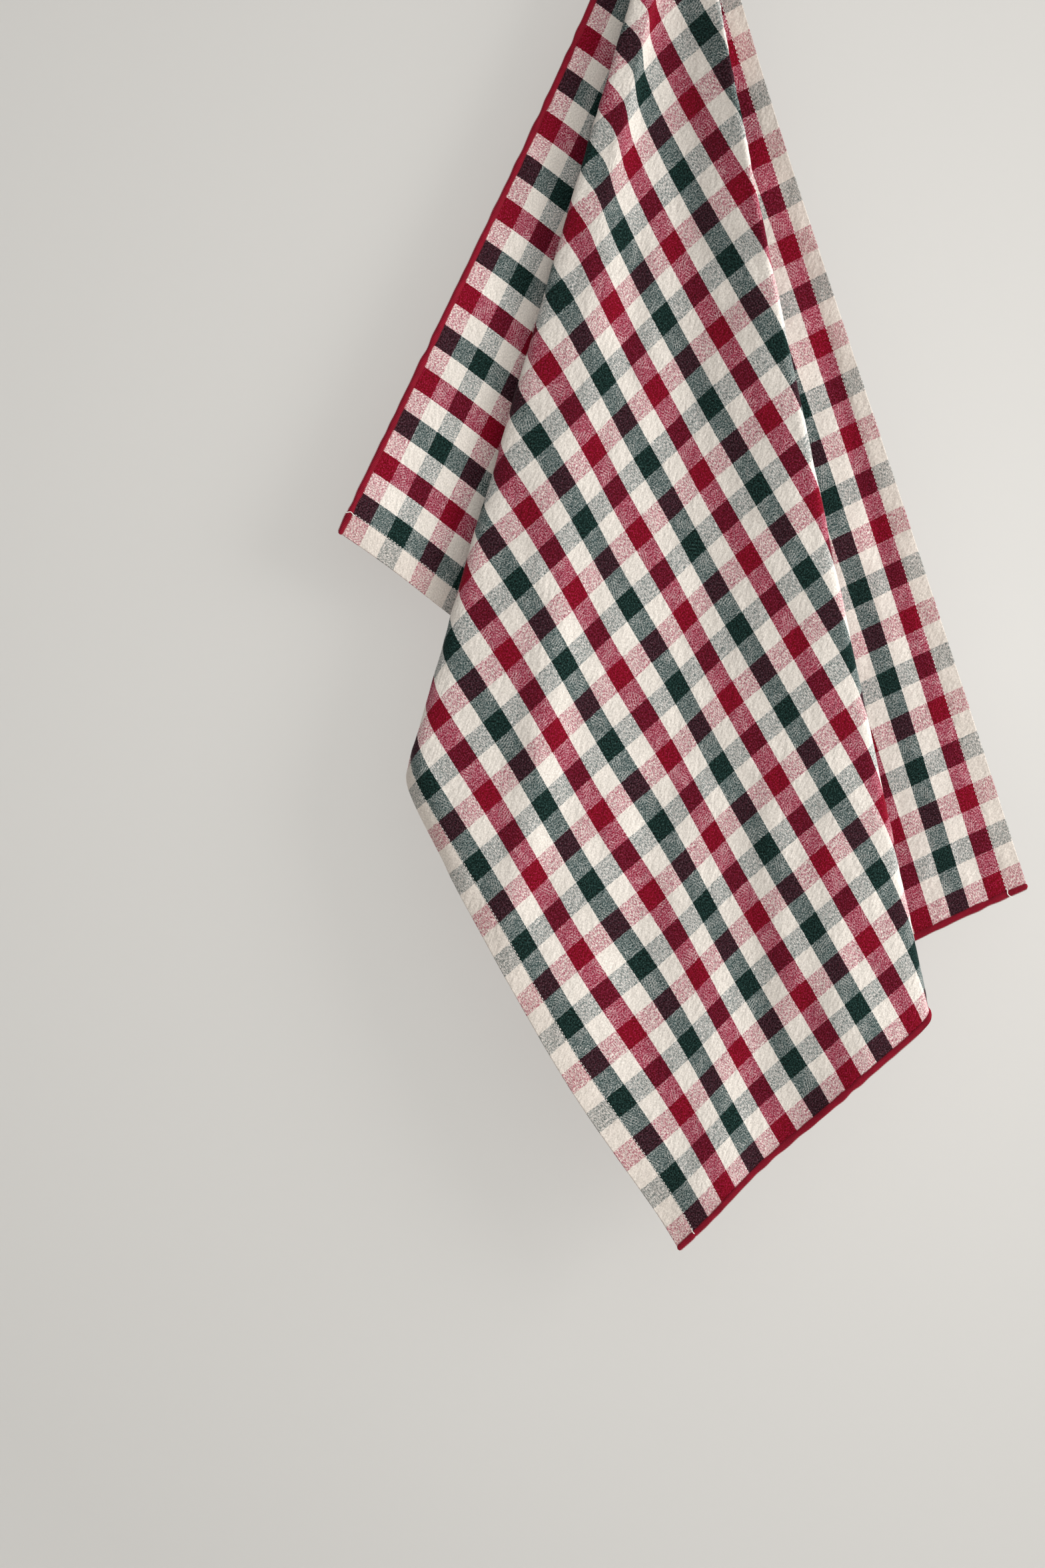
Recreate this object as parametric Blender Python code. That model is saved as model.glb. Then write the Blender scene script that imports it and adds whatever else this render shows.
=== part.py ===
"""A gingham tea towel, hung by one corner, as closed solids in metres.

The towel is one rectangle of cloth. It hangs from its top corner, so every fold
runs down from that corner like a ray, and the cloth is a cone with a folded
cross-section. Each ray of the flat cloth is named by its cloth angle, measured
at the hung corner from the short edge (0 degrees) to the long edge (90 degrees).
The hung angle is where that ray ends up, measured from straight down, with minus
to the viewer's left.

Axes: X to the viewer's right, Y away from the viewer, Z up. The origin is the
hung corner.
"""

import math
from typing import NamedTuple

import bmesh
import bpy
import numpy as np

# The cloth as it is cut and hemmed.
SHORT_SIDE = 0.500
LONG_SIDE = 0.700
CLOTH_THICKNESS = 0.0012

# The sewn edging along both short sides.
EDGING_WIDTH = 0.0040
EDGING_THICKNESS = 0.0026
EDGING_SIDES = 8
SEAT_GAP = 0.0003

# How the weave gives under its own weight.
LENGTH_DRAW = 0.10  # the long threads open up by this share at the hook and close up at the hem
SHORT_EDGE_REACH = 0.976  # hung length over cut length along the short edge
LONG_EDGE_REACH = 0.992  # the same along the long edge
BIAS_GIVE = 0.0455  # extra reach half-way between the two edges, across the threads

# The corner at the hook opens out flat over this length.
CORNER_OPENING = 0.047

# Depths in the table below are given at these two distances from the hook.
NEAR_RADIUS = 0.060
DEPTH_RADIUS = 0.600
DEPTH_EASING = 0.70  # how much the folds stop deepening towards the hem

# Hung angles in the table are given at these two distances from the hook.
UPPER_RADIUS = 0.300
LOWER_RADIUS = 0.750

# Near the hook the cloth is gathered over the left front fold.
GATHER_TURN = 8.0  # degrees of cloth that it slides at the hook
GATHER_RADIUS = 0.20  # it has mostly faded at this distance from the hook
GATHER_FROM = 36.0  # cloth angle where the slide is greatest
GATHER_WIDTH = 6.0  # degrees over which it falls away to the right
GATHER_END = 10.0  # cloth angle where it has gone to the left
GATHER_SHORTENING = 0.05

# The right back layer hangs in a little slack.
SLACK_DEPTH = 0.0045
SLACK_FROM = 70.0  # cloth angle where it begins
SLACK_WIDTH = 13.0  # degrees over which it grows
SLACK_END = 0.70  # distance from the hook where it ends

# A soft pleat down the left of the front panel, from the hook.
PLEAT_CREST = 38.5  # cloth angle of its crest
PLEAT_LEFT = 11.0  # degrees of cloth over which it falls away to the left
PLEAT_RIGHT = 4.5  # the same to the right, where it is steeper
PLEAT_DEPTH = 0.0092
PLEAT_RISE = 0.10  # it has risen at this distance from the hook
PLEAT_FADE = 0.24  # and faded at this one

# The front panel's long hem rolls back a little below the left front fold.
ROLL_WIDTH = 0.030
ROLL_TURN = 0.0092  # how far the rolled edge comes in
ROLL_DEPTH = 0.010
ROLL_PLACE = 36.0  # cloth angle where it rolls most
ROLL_SPREAD = 5.0  # degrees of cloth to each side

# Ripples along the lower hem of the front panel.
RIPPLE_DEPTH = 0.0030
RIPPLE_ANGLE = 8.5  # degrees of cloth for each ripple
RIPPLE_START = 0.55  # share of the way down where they begin

ROWS_DOWN = 30
ROW_CROWDING = 1.35  # above 1, rows are closer together near the hook


class Ray(NamedTuple):
    """One ray of the cloth: its place on the flat cloth and where it hangs."""

    cloth: float  # cloth angle, degrees
    upper: float  # hung angle near the hook, degrees
    lower: float  # hung angle near the hem, degrees
    near: float  # extra depth towards the viewer close to the hook, where the folds open
    depth: float  # depth in front of the hook, towards the viewer
    steps: int  # grid columns from this ray to the next


FRONT_CORNER = math.degrees(math.atan2(LONG_SIDE, SHORT_SIDE))

RAYS = (
    # the left back layer, from the short edge to its hidden inner fold
    Ray(0.0, -25.8, -25.8, -0.0010, 0.005, 3),
    Ray(6.0, -21.2, -21.2, -0.0012, 0.000, 3),
    Ray(12.0, -16.7, -16.7, -0.0014, -0.004, 3),
    Ray(18.0, -11.4, -11.4, -0.0014, -0.006, 2),
    Ray(21.0, -8.7, -8.7, -0.0010, -0.004, 2),
    Ray(23.3, -7.35, -7.35, 0.0002, 0.0015, 2),
    # the layer between, back to the left front fold
    Ray(25.5, -8.7, -8.7, 0.0018, 0.009, 2),
    Ray(29.5, -12.4, -12.4, 0.0042, 0.011, 3),
    Ray(32.8, -15.4, -15.4, 0.0058, 0.014, 2),
    # the front panel, past the lowest corner, to the right front fold
    Ray(35.0, -16.3, -16.1, 0.0062, 0.0225, 2),
    Ray(38.5, -13.8, -14.2, 0.0062, 0.029, 2),
    Ray(42.0, -10.8, -11.1, 0.0058, 0.032, 3),
    Ray(46.0, -7.7, -7.75, 0.0054, 0.034, 3),
    Ray(50.0, -4.85, -4.4, 0.0052, 0.036, 2),
    Ray(FRONT_CORNER, -1.5, -0.35, 0.0050, 0.038, 3),
    Ray(59.0, 1.95, 2.95, 0.0048, 0.042, 2),
    Ray(63.0, 5.15, 6.15, 0.0046, 0.050, 2),
    Ray(66.5, 8.0, 8.85, 0.0045, 0.057, 2),
    Ray(69.0, 10.15, 10.8, 0.0044, 0.0595, 3),
    # the layer between, back to its hidden inner fold
    Ray(71.2, 11.6, 11.75, 0.0040, 0.0525, 3),
    Ray(74.0, 9.6, 9.8, 0.0032, 0.0365, 3),
    Ray(76.8, 7.3, 7.4, 0.0024, 0.0215, 3),
    # the right back layer, out to the long edge
    Ray(79.5, 9.4, 9.3, 0.0020, 0.012, 3),
    Ray(84.5, 14.4, 13.6, 0.0014, 0.011, 4),
    Ray(90.0, 18.6, 18.25, 0.0010, 0.014, 0),
)


class Finish(NamedTuple):
    """The plain look of one sub-part."""

    name: str
    colour: tuple
    roughness: float


GINGHAM = Finish("gingham_cotton", (0.52, 0.36, 0.33, 1.0), 0.9)
CRIMSON = Finish("crimson_edging", (0.33, 0.012, 0.03, 1.0), 0.85)


class SmoothLine:
    """A natural cubic spline through one column of the table, and straight past its ends."""

    def __init__(self, places, values):
        self.x = np.asarray(places, float)
        self.y = np.asarray(values, float)
        gap = np.diff(self.x)
        count = len(self.x)
        system = np.eye(count)
        right = np.zeros(count)
        slope = np.diff(self.y) / gap
        for row in range(1, count - 1):
            system[row, row - 1] = gap[row - 1]
            system[row, row] = 2 * (gap[row - 1] + gap[row])
            system[row, row + 1] = gap[row]
            right[row] = 6 * (slope[row] - slope[row - 1])
        self.bend = np.linalg.solve(system, right)

    def __call__(self, places):
        asked = np.asarray(places, float)
        x = np.clip(asked, self.x[0], self.x[-1])
        row = np.clip(np.searchsorted(self.x, x) - 1, 0, len(self.x) - 2)
        gap = self.x[row + 1] - self.x[row]
        before = (self.x[row + 1] - x) / gap
        after = (x - self.x[row]) / gap
        bent = (before**3 - before) * self.bend[row] + (after**3 - after) * self.bend[row + 1]
        past_end = (asked - x) * (self.y[row + 1] - self.y[row]) / gap
        return before * self.y[row] + after * self.y[row + 1] + bent * gap**2 / 6 + past_end


UPPER_ANGLE = SmoothLine([ray.cloth for ray in RAYS], [ray.upper for ray in RAYS])
LOWER_ANGLE = SmoothLine([ray.cloth for ray in RAYS], [ray.lower for ray in RAYS])
NEAR_DEPTH = SmoothLine([ray.cloth for ray in RAYS], [ray.near for ray in RAYS])
DEPTH = SmoothLine([ray.cloth for ray in RAYS], [ray.depth for ray in RAYS])


def drawn_length(along):
    """Hung place of a point this far along the long threads from the hung short edge."""
    share = along / LONG_SIDE
    return LONG_SIDE * (share + LENGTH_DRAW * (share - share**2))


def hung(across, along):
    """Middle surface of the hung cloth.

    across is the distance from the long edge that is hung, along the short
    threads. along is the distance from the short edge that is hung.
    """
    drawn = drawn_length(along)
    rolled = hem_roll(across, np.degrees(np.arctan2(drawn, across)))
    across = across - ROLL_TURN * rolled
    radius = np.hypot(across, drawn)
    cloth = np.degrees(np.arctan2(drawn, across))
    turn = np.radians(cloth)
    slide, shortening = gather(cloth, radius)
    edge_reach = SHORT_EDGE_REACH + (LONG_EDGE_REACH - SHORT_EDGE_REACH) * cloth / 90
    reach = radius * (edge_reach + BIAS_GIVE * np.sin(2 * turn)) * shortening
    reach = reach - slack(cloth, radius)
    slid = cloth + slide

    lower_share = np.clip((radius - UPPER_RADIUS) / (LOWER_RADIUS - UPPER_RADIUS), -0.3, 1.2)
    folded = UPPER_ANGLE(slid) * (1 - lower_share) + LOWER_ANGLE(slid) * lower_share
    openness = np.exp(-radius / CORNER_OPENING)
    angle = np.radians(folded * (1 - openness) + (cloth - 45) * openness)

    near = radius / NEAR_RADIUS
    opening = near**2 * np.exp(2 - 2 * near)
    distance = radius / DEPTH_RADIUS
    deepening = distance * (1 + DEPTH_EASING - DEPTH_EASING * distance)
    depth = NEAR_DEPTH(slid) * opening + DEPTH(slid) * deepening
    depth = depth + pleat(cloth, radius) + ripples(cloth, along) - ROLL_DEPTH * rolled
    return np.stack([reach * np.sin(angle), -depth, -reach * np.cos(angle)], axis=-1)


def gather(cloth, radius):
    """How far the gathered cloth slides, in degrees, and the factor for its reach."""
    right = np.exp(-((np.clip(cloth - GATHER_FROM, 0, None) / GATHER_WIDTH) ** 2))
    share = np.clip((cloth - GATHER_END) / (GATHER_FROM - GATHER_END), 0, 1)
    left = share**2 * (3 - 2 * share)
    slide = GATHER_TURN * right * left * np.exp(-((radius / GATHER_RADIUS) ** 2))
    close = np.exp(-((radius / (0.85 * GATHER_RADIUS)) ** 2))
    return slide, 1 - GATHER_SHORTENING * right * close


def slack(cloth, radius):
    """How much less far the right back layer reaches."""
    share = np.clip((cloth - SLACK_FROM) / SLACK_WIDTH, 0, 1)
    side = share**2 * (3 - 2 * share)
    upper = np.clip(1 - (radius / SLACK_END) ** 4, 0, 1) * (1 - np.exp(-radius / 0.04))
    return SLACK_DEPTH * side * upper


def pleat(cloth, radius):
    """The pleat's depth."""
    strength = (1 - np.exp(-((radius / PLEAT_RISE) ** 2))) * np.exp(-((radius / PLEAT_FADE) ** 3))
    beside = cloth - PLEAT_CREST
    width = np.where(beside > 0, PLEAT_RIGHT, PLEAT_LEFT)
    return PLEAT_DEPTH * strength * np.exp(-((beside / width) ** 2))


def hem_roll(across, cloth):
    """How far the long hem has rolled back here, from 0 to 1 at its edge."""
    near_edge = np.clip(1 - (SHORT_SIDE - across) / ROLL_WIDTH, 0, 1)
    return near_edge**2 * np.exp(-(((cloth - ROLL_PLACE) / ROLL_SPREAD) ** 2))


def ripples(cloth, along):
    """Soft ripples in depth that grow towards the lower hem of the front panel."""
    down = np.clip((along / LONG_SIDE - RIPPLE_START) / (1 - RIPPLE_START), 0, 1.1)
    inside = np.clip((cloth - 50) / 6, 0, 1) * np.clip((71 - cloth) / 5, 0, 1)
    wave = np.sin(2 * math.pi * (cloth - FRONT_CORNER) / RIPPLE_ANGLE)
    return RIPPLE_DEPTH * down**2 * inside * wave


def facing(across, along):
    """Unit normals of the middle surface, on the viewer's side where the cloth shows its face."""
    nudge = 0.0004
    by_across = hung(across + nudge, along) - hung(across - nudge, along)
    by_along = hung(across, along + nudge) - hung(across, along - nudge)
    normal = np.cross(by_across, by_along)
    return normal / np.linalg.norm(normal, axis=-1, keepdims=True)


def column_angles():
    """Cloth angles of the grid columns: the table's rays, with even steps between them."""
    angles = []
    for ray, after in zip(RAYS[:-1], RAYS[1:], strict=True):
        for step in range(ray.steps):
            angles.append(ray.cloth + (after.cloth - ray.cloth) * step / ray.steps)
    angles.append(RAYS[-1].cloth)
    return np.array(angles)


def row_shares():
    """Shares of each ray, down from the hung corner to the edge, where the grid has a row."""
    return (np.arange(1, ROWS_DOWN + 1) / ROWS_DOWN) ** ROW_CROWDING


def along_from_drawn(drawn):
    """The cut length whose drawn length is given, which undoes drawn_length."""
    whole = 1 + LENGTH_DRAW
    root = np.sqrt(np.maximum(whole**2 - 4 * LENGTH_DRAW * drawn / LONG_SIDE, 0))
    return LONG_SIDE * (whole - root) / (2 * LENGTH_DRAW)


def fan_grid():
    """Flat places (across, along) of the fan of grid points below the hung corner.

    Both are arrays [row, column].
    """
    turn = np.radians(column_angles())
    to_side = SHORT_SIDE / np.maximum(np.cos(turn), 1e-9)
    to_hem = LONG_SIDE / np.maximum(np.sin(turn), 1e-9)
    edge = np.minimum(to_side, to_hem)
    radius = row_shares()[:, None] * edge[None, :]
    across = radius * np.cos(turn)
    along = along_from_drawn(radius * np.sin(turn))
    return across, along


def add_solid(name, points, faces, finish):
    """Adds one smooth closed solid in its own material, with its faces turned to face out."""
    mesh = bpy.data.meshes.new(name)
    mesh.from_pydata([tuple(point) for point in points], [], faces)
    body = bmesh.new()
    body.from_mesh(mesh)
    bmesh.ops.recalc_face_normals(body, faces=body.faces)
    bmesh.ops.triangulate(body, faces=body.faces)
    body.to_mesh(mesh)
    body.free()
    mesh.shade_smooth()
    solid = bpy.data.objects.new(name, mesh)
    bpy.context.scene.collection.objects.link(solid)
    material = bpy.data.materials.new(finish.name)
    material.use_nodes = True
    shader = material.node_tree.nodes["Principled BSDF"]
    shader.inputs["Base Color"].default_value = finish.colour
    shader.inputs["Roughness"].default_value = finish.roughness
    shader.inputs["Metallic"].default_value = 0.0
    mesh.materials.append(material)
    return solid


def build_cloth():
    """The towel's cloth: one folded sheet of even thickness, its side hems included."""
    grid_across, grid_along = fan_grid()
    rows, columns = grid_across.shape
    corner = rows * columns  # the hung corner comes after the grid
    layer = corner + 1
    across = np.append(grid_across, 0.0)
    along = np.append(grid_along, 0.0)
    middle = hung(across, along)
    half = facing(across, along) * CLOTH_THICKNESS / 2
    points = np.concatenate([middle + half, middle - half])
    index = np.arange(corner).reshape(rows, columns)
    faces = []
    for column in range(columns - 1):
        fan = (corner, int(index[0, column]), int(index[0, column + 1]))
        faces.append(fan)
        faces.append(tuple(point + layer for point in fan))
    for row in range(rows - 1):
        for column in range(columns - 1):
            quad = [
                index[row, column],
                index[row, column + 1],
                index[row + 1, column + 1],
                index[row + 1, column],
            ]
            faces.append(tuple(int(point) for point in quad))
            faces.append(tuple(int(point) + layer for point in quad))
    rim = [corner] + list(index[:, -1]) + list(index[-1, -2::-1]) + list(index[-2::-1, 0])
    for here, after in zip(rim, rim[1:] + rim[:1], strict=True):
        faces.append((int(after), int(here), int(here) + layer, int(after) + layer))
    return add_solid("towel_cloth", points, faces, GINGHAM)


def build_edging(name, across, along, outward):
    """A rounded sewn edging that runs along one short side.

    across and along are the flat places of its stations on the cloth's edge.
    outward is +1 where the edging lies past the lower hem, -1 past the upper one.
    """
    turns = np.arange(EDGING_SIDES) * 2 * math.pi / EDGING_SIDES
    points = []
    for station_across, station_along in zip(across, along, strict=True):
        out = SEAT_GAP + EDGING_WIDTH * (1 + np.cos(turns)) / 2
        lift = EDGING_THICKNESS * np.sin(turns) / 2
        ring_across = np.full(EDGING_SIDES, station_across)
        ring_along = station_along + outward * out
        middle = hung(ring_across, ring_along)
        points.append(middle + facing(ring_across, ring_along) * lift[:, None])
    stations = len(points)
    points = np.concatenate(points)
    faces = []
    for station in range(stations - 1):
        for side in range(EDGING_SIDES):
            here = station * EDGING_SIDES + side
            beside = station * EDGING_SIDES + (side + 1) % EDGING_SIDES
            faces.append((here, beside, beside + EDGING_SIDES, here + EDGING_SIDES))
    faces.append(tuple(range(EDGING_SIDES)))
    last = (stations - 1) * EDGING_SIDES
    faces.append(tuple(range(last + EDGING_SIDES - 1, last - 1, -1)))
    return add_solid(name, points, faces, CRIMSON)


def main():
    for leftover in list(bpy.data.objects):
        bpy.data.objects.remove(leftover)
    across, along = fan_grid()
    build_cloth()
    # The lower edging follows the hem from the lowest corner to the long edge.
    hem = column_angles() >= FRONT_CORNER - 1e-6
    build_edging("lower_edging", across[-1, hem], along[-1, hem], 1)
    # The upper edging follows the hung short side from the hook outwards.
    build_edging("upper_edging", np.append(0.0, across[:, 0]), np.append(0.0, along[:, 0]), -1)


main()
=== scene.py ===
"""A gingham tea towel hung by one corner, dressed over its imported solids.

The cloth is one sheet on the solids' folds. Flat places on it are (across, along):
across is measured from the long edge that is hung, along the short threads, and
along is measured from the short edge that is hung. The hung corner is the origin.
"""

import logging
import math
from dataclasses import dataclass, field
from enum import Enum
from typing import NamedTuple

import bpy
import numpy as np
from bpy.types import Material, Node, NodeSocket, NodeTree, Object, World
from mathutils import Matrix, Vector


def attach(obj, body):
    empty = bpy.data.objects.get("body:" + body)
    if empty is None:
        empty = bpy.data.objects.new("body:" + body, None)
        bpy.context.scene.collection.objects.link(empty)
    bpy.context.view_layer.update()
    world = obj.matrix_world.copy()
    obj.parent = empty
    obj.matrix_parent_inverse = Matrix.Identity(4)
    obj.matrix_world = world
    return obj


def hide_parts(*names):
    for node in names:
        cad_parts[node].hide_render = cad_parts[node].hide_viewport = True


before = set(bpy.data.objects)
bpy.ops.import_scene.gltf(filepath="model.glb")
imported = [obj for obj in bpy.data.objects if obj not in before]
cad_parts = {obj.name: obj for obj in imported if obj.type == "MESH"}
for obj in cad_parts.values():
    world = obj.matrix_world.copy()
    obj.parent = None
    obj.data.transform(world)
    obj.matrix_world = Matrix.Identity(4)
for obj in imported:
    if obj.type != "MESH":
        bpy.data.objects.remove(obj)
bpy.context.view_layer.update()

Array = np.ndarray
Triple = tuple[float, float, float]  # a place or a colour

log = logging.getLogger("tea_towel")

SHORT_SIDE = 0.500
LONG_SIDE = 0.700
FRONT_CORNER = math.degrees(math.atan2(LONG_SIDE, SHORT_SIDE))
FLAT_MAP = "ClothFlat"  # the cloth's own flat places, in metres
BAKE_MAP = "OFBake"  # face and back side by side


class Side(Enum):
    """The two sides of the cloth: the face that the viewer sees, and the back."""

    FACE = 1.0
    BACK = -1.0


# ---------------------------------------------------------------- curves


def bell(offset: Array, width: float | Array) -> Array:
    """1 at no offset, and falling off smoothly over this width."""
    return np.exp(-((offset / width) ** 2))


def ramp(value: Array, start: float, width: float) -> Array:
    """0 up to the start, and rising evenly to 1 over this width."""
    return np.clip((value - start) / width, 0, 1)


def soft_ramp(value: Array, start: float, width: float) -> Array:
    """The same, with a soft start and end."""
    share = ramp(value, start, width)
    return share**2 * (3 - 2 * share)


# ---------------------------------------------------------------- the hung shape


class Ray(NamedTuple):
    """One ray of the cloth from the hung corner: its place on the flat cloth and where it hangs."""

    cloth: float  # cloth angle from the hung short edge, degrees
    upper: float  # hung angle near the hung corner, degrees from straight down
    lower: float  # hung angle near the hem, degrees
    near: float  # extra depth towards the viewer close to the corner
    depth: float  # depth towards the viewer


RAYS = (
    # the left back layer, from the short edge to its hidden inner fold
    Ray(0.0, -25.8, -25.8, -0.0010, 0.005),
    Ray(6.0, -21.2, -21.2, -0.0012, 0.000),
    Ray(12.0, -16.7, -16.7, -0.0014, -0.004),
    Ray(18.0, -11.4, -11.4, -0.0014, -0.006),
    Ray(21.0, -8.7, -8.7, -0.0010, -0.004),
    Ray(23.3, -7.35, -7.35, 0.0002, 0.0015),
    # the layer between, back to the left front fold
    Ray(25.5, -8.7, -8.7, 0.0018, 0.009),
    Ray(29.5, -12.4, -12.4, 0.0042, 0.011),
    Ray(32.8, -15.4, -15.4, 0.0058, 0.014),
    # the front panel, past the lowest corner, to the right front fold
    Ray(35.0, -16.3, -16.1, 0.0062, 0.0225),
    Ray(38.5, -13.8, -14.2, 0.0062, 0.029),
    Ray(42.0, -10.8, -11.1, 0.0058, 0.032),
    Ray(46.0, -7.7, -7.75, 0.0054, 0.034),
    Ray(50.0, -4.85, -4.4, 0.0052, 0.036),
    Ray(FRONT_CORNER, -1.5, -0.35, 0.0050, 0.038),
    Ray(59.0, 1.95, 2.95, 0.0048, 0.042),
    Ray(63.0, 5.15, 6.15, 0.0046, 0.050),
    Ray(66.5, 8.0, 8.85, 0.0045, 0.057),
    Ray(69.0, 10.15, 10.8, 0.0044, 0.0595),
    # the layer between, back to its hidden inner fold
    Ray(71.2, 11.6, 11.75, 0.0040, 0.0525),
    Ray(74.0, 9.6, 9.8, 0.0032, 0.0365),
    Ray(76.8, 7.3, 7.4, 0.0024, 0.0215),
    # the right back layer, out to the long edge
    Ray(79.5, 9.4, 9.3, 0.0020, 0.012),
    Ray(84.5, 14.4, 13.6, 0.0014, 0.011),
    Ray(90.0, 18.6, 18.25, 0.0010, 0.014),
)


class SmoothLine:
    """A natural cubic spline through one column of the table, and straight past its ends."""

    def __init__(self, places: list[float], values: list[float]) -> None:
        """Works out the spline's bends.

        Args:
            places: the rays' cloth angles, rising.
            values: the column's value at each ray.
        """
        self.x = np.asarray(places, float)
        self.y = np.asarray(values, float)
        gap = np.diff(self.x)
        count = len(self.x)
        system = np.eye(count)
        right = np.zeros(count)
        slope = np.diff(self.y) / gap
        for row in range(1, count - 1):
            system[row, row - 1] = gap[row - 1]
            system[row, row] = 2 * (gap[row - 1] + gap[row])
            system[row, row + 1] = gap[row]
            right[row] = 6 * (slope[row] - slope[row - 1])
        self.bend = np.linalg.solve(system, right)

    def __call__(self, places: Array) -> Array:
        """The spline's values.

        Args:
            places: cloth angles, degrees.

        Returns:
            The value at each place.
        """
        asked = np.asarray(places, float)
        x = np.clip(asked, self.x[0], self.x[-1])
        row = np.clip(np.searchsorted(self.x, x) - 1, 0, len(self.x) - 2)
        gap = self.x[row + 1] - self.x[row]
        before = (self.x[row + 1] - x) / gap
        after = (x - self.x[row]) / gap
        bent = (before**3 - before) * self.bend[row] + (after**3 - after) * self.bend[row + 1]
        past_end = (asked - x) * (self.y[row + 1] - self.y[row]) / gap
        return before * self.y[row] + after * self.y[row + 1] + bent * gap**2 / 6 + past_end


@dataclass
class HungShape:
    """The middle surface of the hung cloth, as the solids have it."""

    length_draw: float = 0.10  # the long threads open up near the corner and close up at the hem
    short_edge_reach: float = 0.976
    long_edge_reach: float = 0.992
    bias_give: float = 0.0455
    corner_opening: float = 0.047
    near_radius: float = 0.060
    depth_radius: float = 0.600
    depth_easing: float = 0.70
    upper_radius: float = 0.300
    lower_radius: float = 0.750
    past_upper: float = -0.3  # how far the angles go on changing beyond these two radii
    past_lower: float = 1.2
    gather_turn: float = 8.0  # near the corner the cloth is gathered over the left front fold
    gather_radius: float = 0.20
    gather_from: float = 36.0
    gather_width: float = 6.0
    gather_end: float = 10.0
    gather_shortening: float = 0.05
    gather_closing: float = 0.85  # the shortening's radius, as a share of the gather's
    slack_depth: float = 0.0045  # the right back layer hangs in a little slack
    slack_from: float = 70.0
    slack_width: float = 13.0
    slack_start: float = 0.04
    slack_end: float = 0.70
    pleat_crest: float = 38.5
    pleat_left: float = 11.0
    pleat_right: float = 4.5
    pleat_depth: float = 0.0092
    pleat_rise: float = 0.10
    pleat_fade: float = 0.24
    roll_width: float = 0.030
    roll_turn: float = 0.0092
    roll_depth: float = 0.010
    roll_place: float = 36.0
    roll_spread: float = 5.0
    ripple_depth: float = 0.0030
    ripple_angle: float = 8.5
    ripple_start: float = 0.55
    ripple_left: float = 50.0
    ripple_left_fade: float = 6.0
    ripple_right: float = 71.0
    ripple_right_fade: float = 5.0
    nudge: float = 0.0004
    lines: dict[str, SmoothLine] = field(default_factory=dict)

    def __post_init__(self) -> None:
        """Makes one spline for each column of the table."""
        places = [ray.cloth for ray in RAYS]
        for column in ("upper", "lower", "near", "depth"):
            self.lines[column] = SmoothLine(places, [getattr(ray, column) for ray in RAYS])

    def drawn_length(self, along: Array) -> Array:
        """Hung place of a point this far along the long threads."""
        share = along / LONG_SIDE
        return LONG_SIDE * (share + self.length_draw * (share - share**2))

    def polar(self, across: Array, along: Array) -> tuple[Array, Array]:
        """Cloth angles in degrees and distances from the hung corner, of flat places."""
        drawn = self.drawn_length(along)
        return np.degrees(np.arctan2(drawn, across)), np.hypot(across, drawn)

    def gathered(self, cloth: Array, radius: Array) -> tuple[Array, Array]:
        """The gather over the left front fold near the hung corner.

        Args:
            cloth: cloth angles, degrees.
            radius: distances from the hung corner.

        Returns:
            How far the cloth slides, in degrees, and the factor for its reach.
        """
        right = bell(np.clip(cloth - self.gather_from, 0, None), self.gather_width)
        left = soft_ramp(cloth, self.gather_end, self.gather_from - self.gather_end)
        slide = self.gather_turn * right * left * bell(radius, self.gather_radius)
        close = bell(radius, self.gather_closing * self.gather_radius)
        return slide, 1 - self.gather_shortening * right * close

    def slack(self, cloth: Array, radius: Array) -> Array:
        """How much less far the right back layer reaches.

        Args:
            cloth: cloth angles, degrees.
            radius: distances from the hung corner.

        Returns:
            The length to take off its reach.
        """
        side = soft_ramp(cloth, self.slack_from, self.slack_width)
        upper = 1 - np.exp(-radius / self.slack_start)
        lower = np.clip(1 - (radius / self.slack_end) ** 4, 0, 1)
        return self.slack_depth * side * upper * lower

    def pleat(self, cloth: Array, radius: Array) -> Array:
        """Depth of the soft pleat beside the left front fold.

        Args:
            cloth: cloth angles, degrees.
            radius: distances from the hung corner.

        Returns:
            The depth towards the viewer.
        """
        strength = (1 - bell(radius, self.pleat_rise)) * np.exp(-((radius / self.pleat_fade) ** 3))
        beside = cloth - self.pleat_crest
        width = np.where(beside > 0, self.pleat_right, self.pleat_left)
        return self.pleat_depth * strength * bell(beside, width)

    def hem_roll(self, across: Array, cloth: Array) -> Array:
        """How far the front panel's long hem has rolled back here, from 0 to 1 at its edge."""
        near_edge = np.clip(1 - (SHORT_SIDE - across) / self.roll_width, 0, 1)
        return near_edge**2 * bell(cloth - self.roll_place, self.roll_spread)

    def ripples(self, cloth: Array, along: Array) -> Array:
        """Soft ripples in depth that grow towards the lower hem of the front panel.

        Args:
            cloth: cloth angles, degrees.
            along: distances from the hung short edge.

        Returns:
            The depth towards the viewer.
        """
        down = np.clip((along / LONG_SIDE - self.ripple_start) / (1 - self.ripple_start), 0, 1.1)
        inside = ramp(cloth, self.ripple_left, self.ripple_left_fade)
        inside = inside * ramp(-cloth, -self.ripple_right, self.ripple_right_fade)
        wave = np.sin(2 * math.pi * (cloth - FRONT_CORNER) / self.ripple_angle)
        return self.ripple_depth * down**2 * inside * wave

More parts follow.
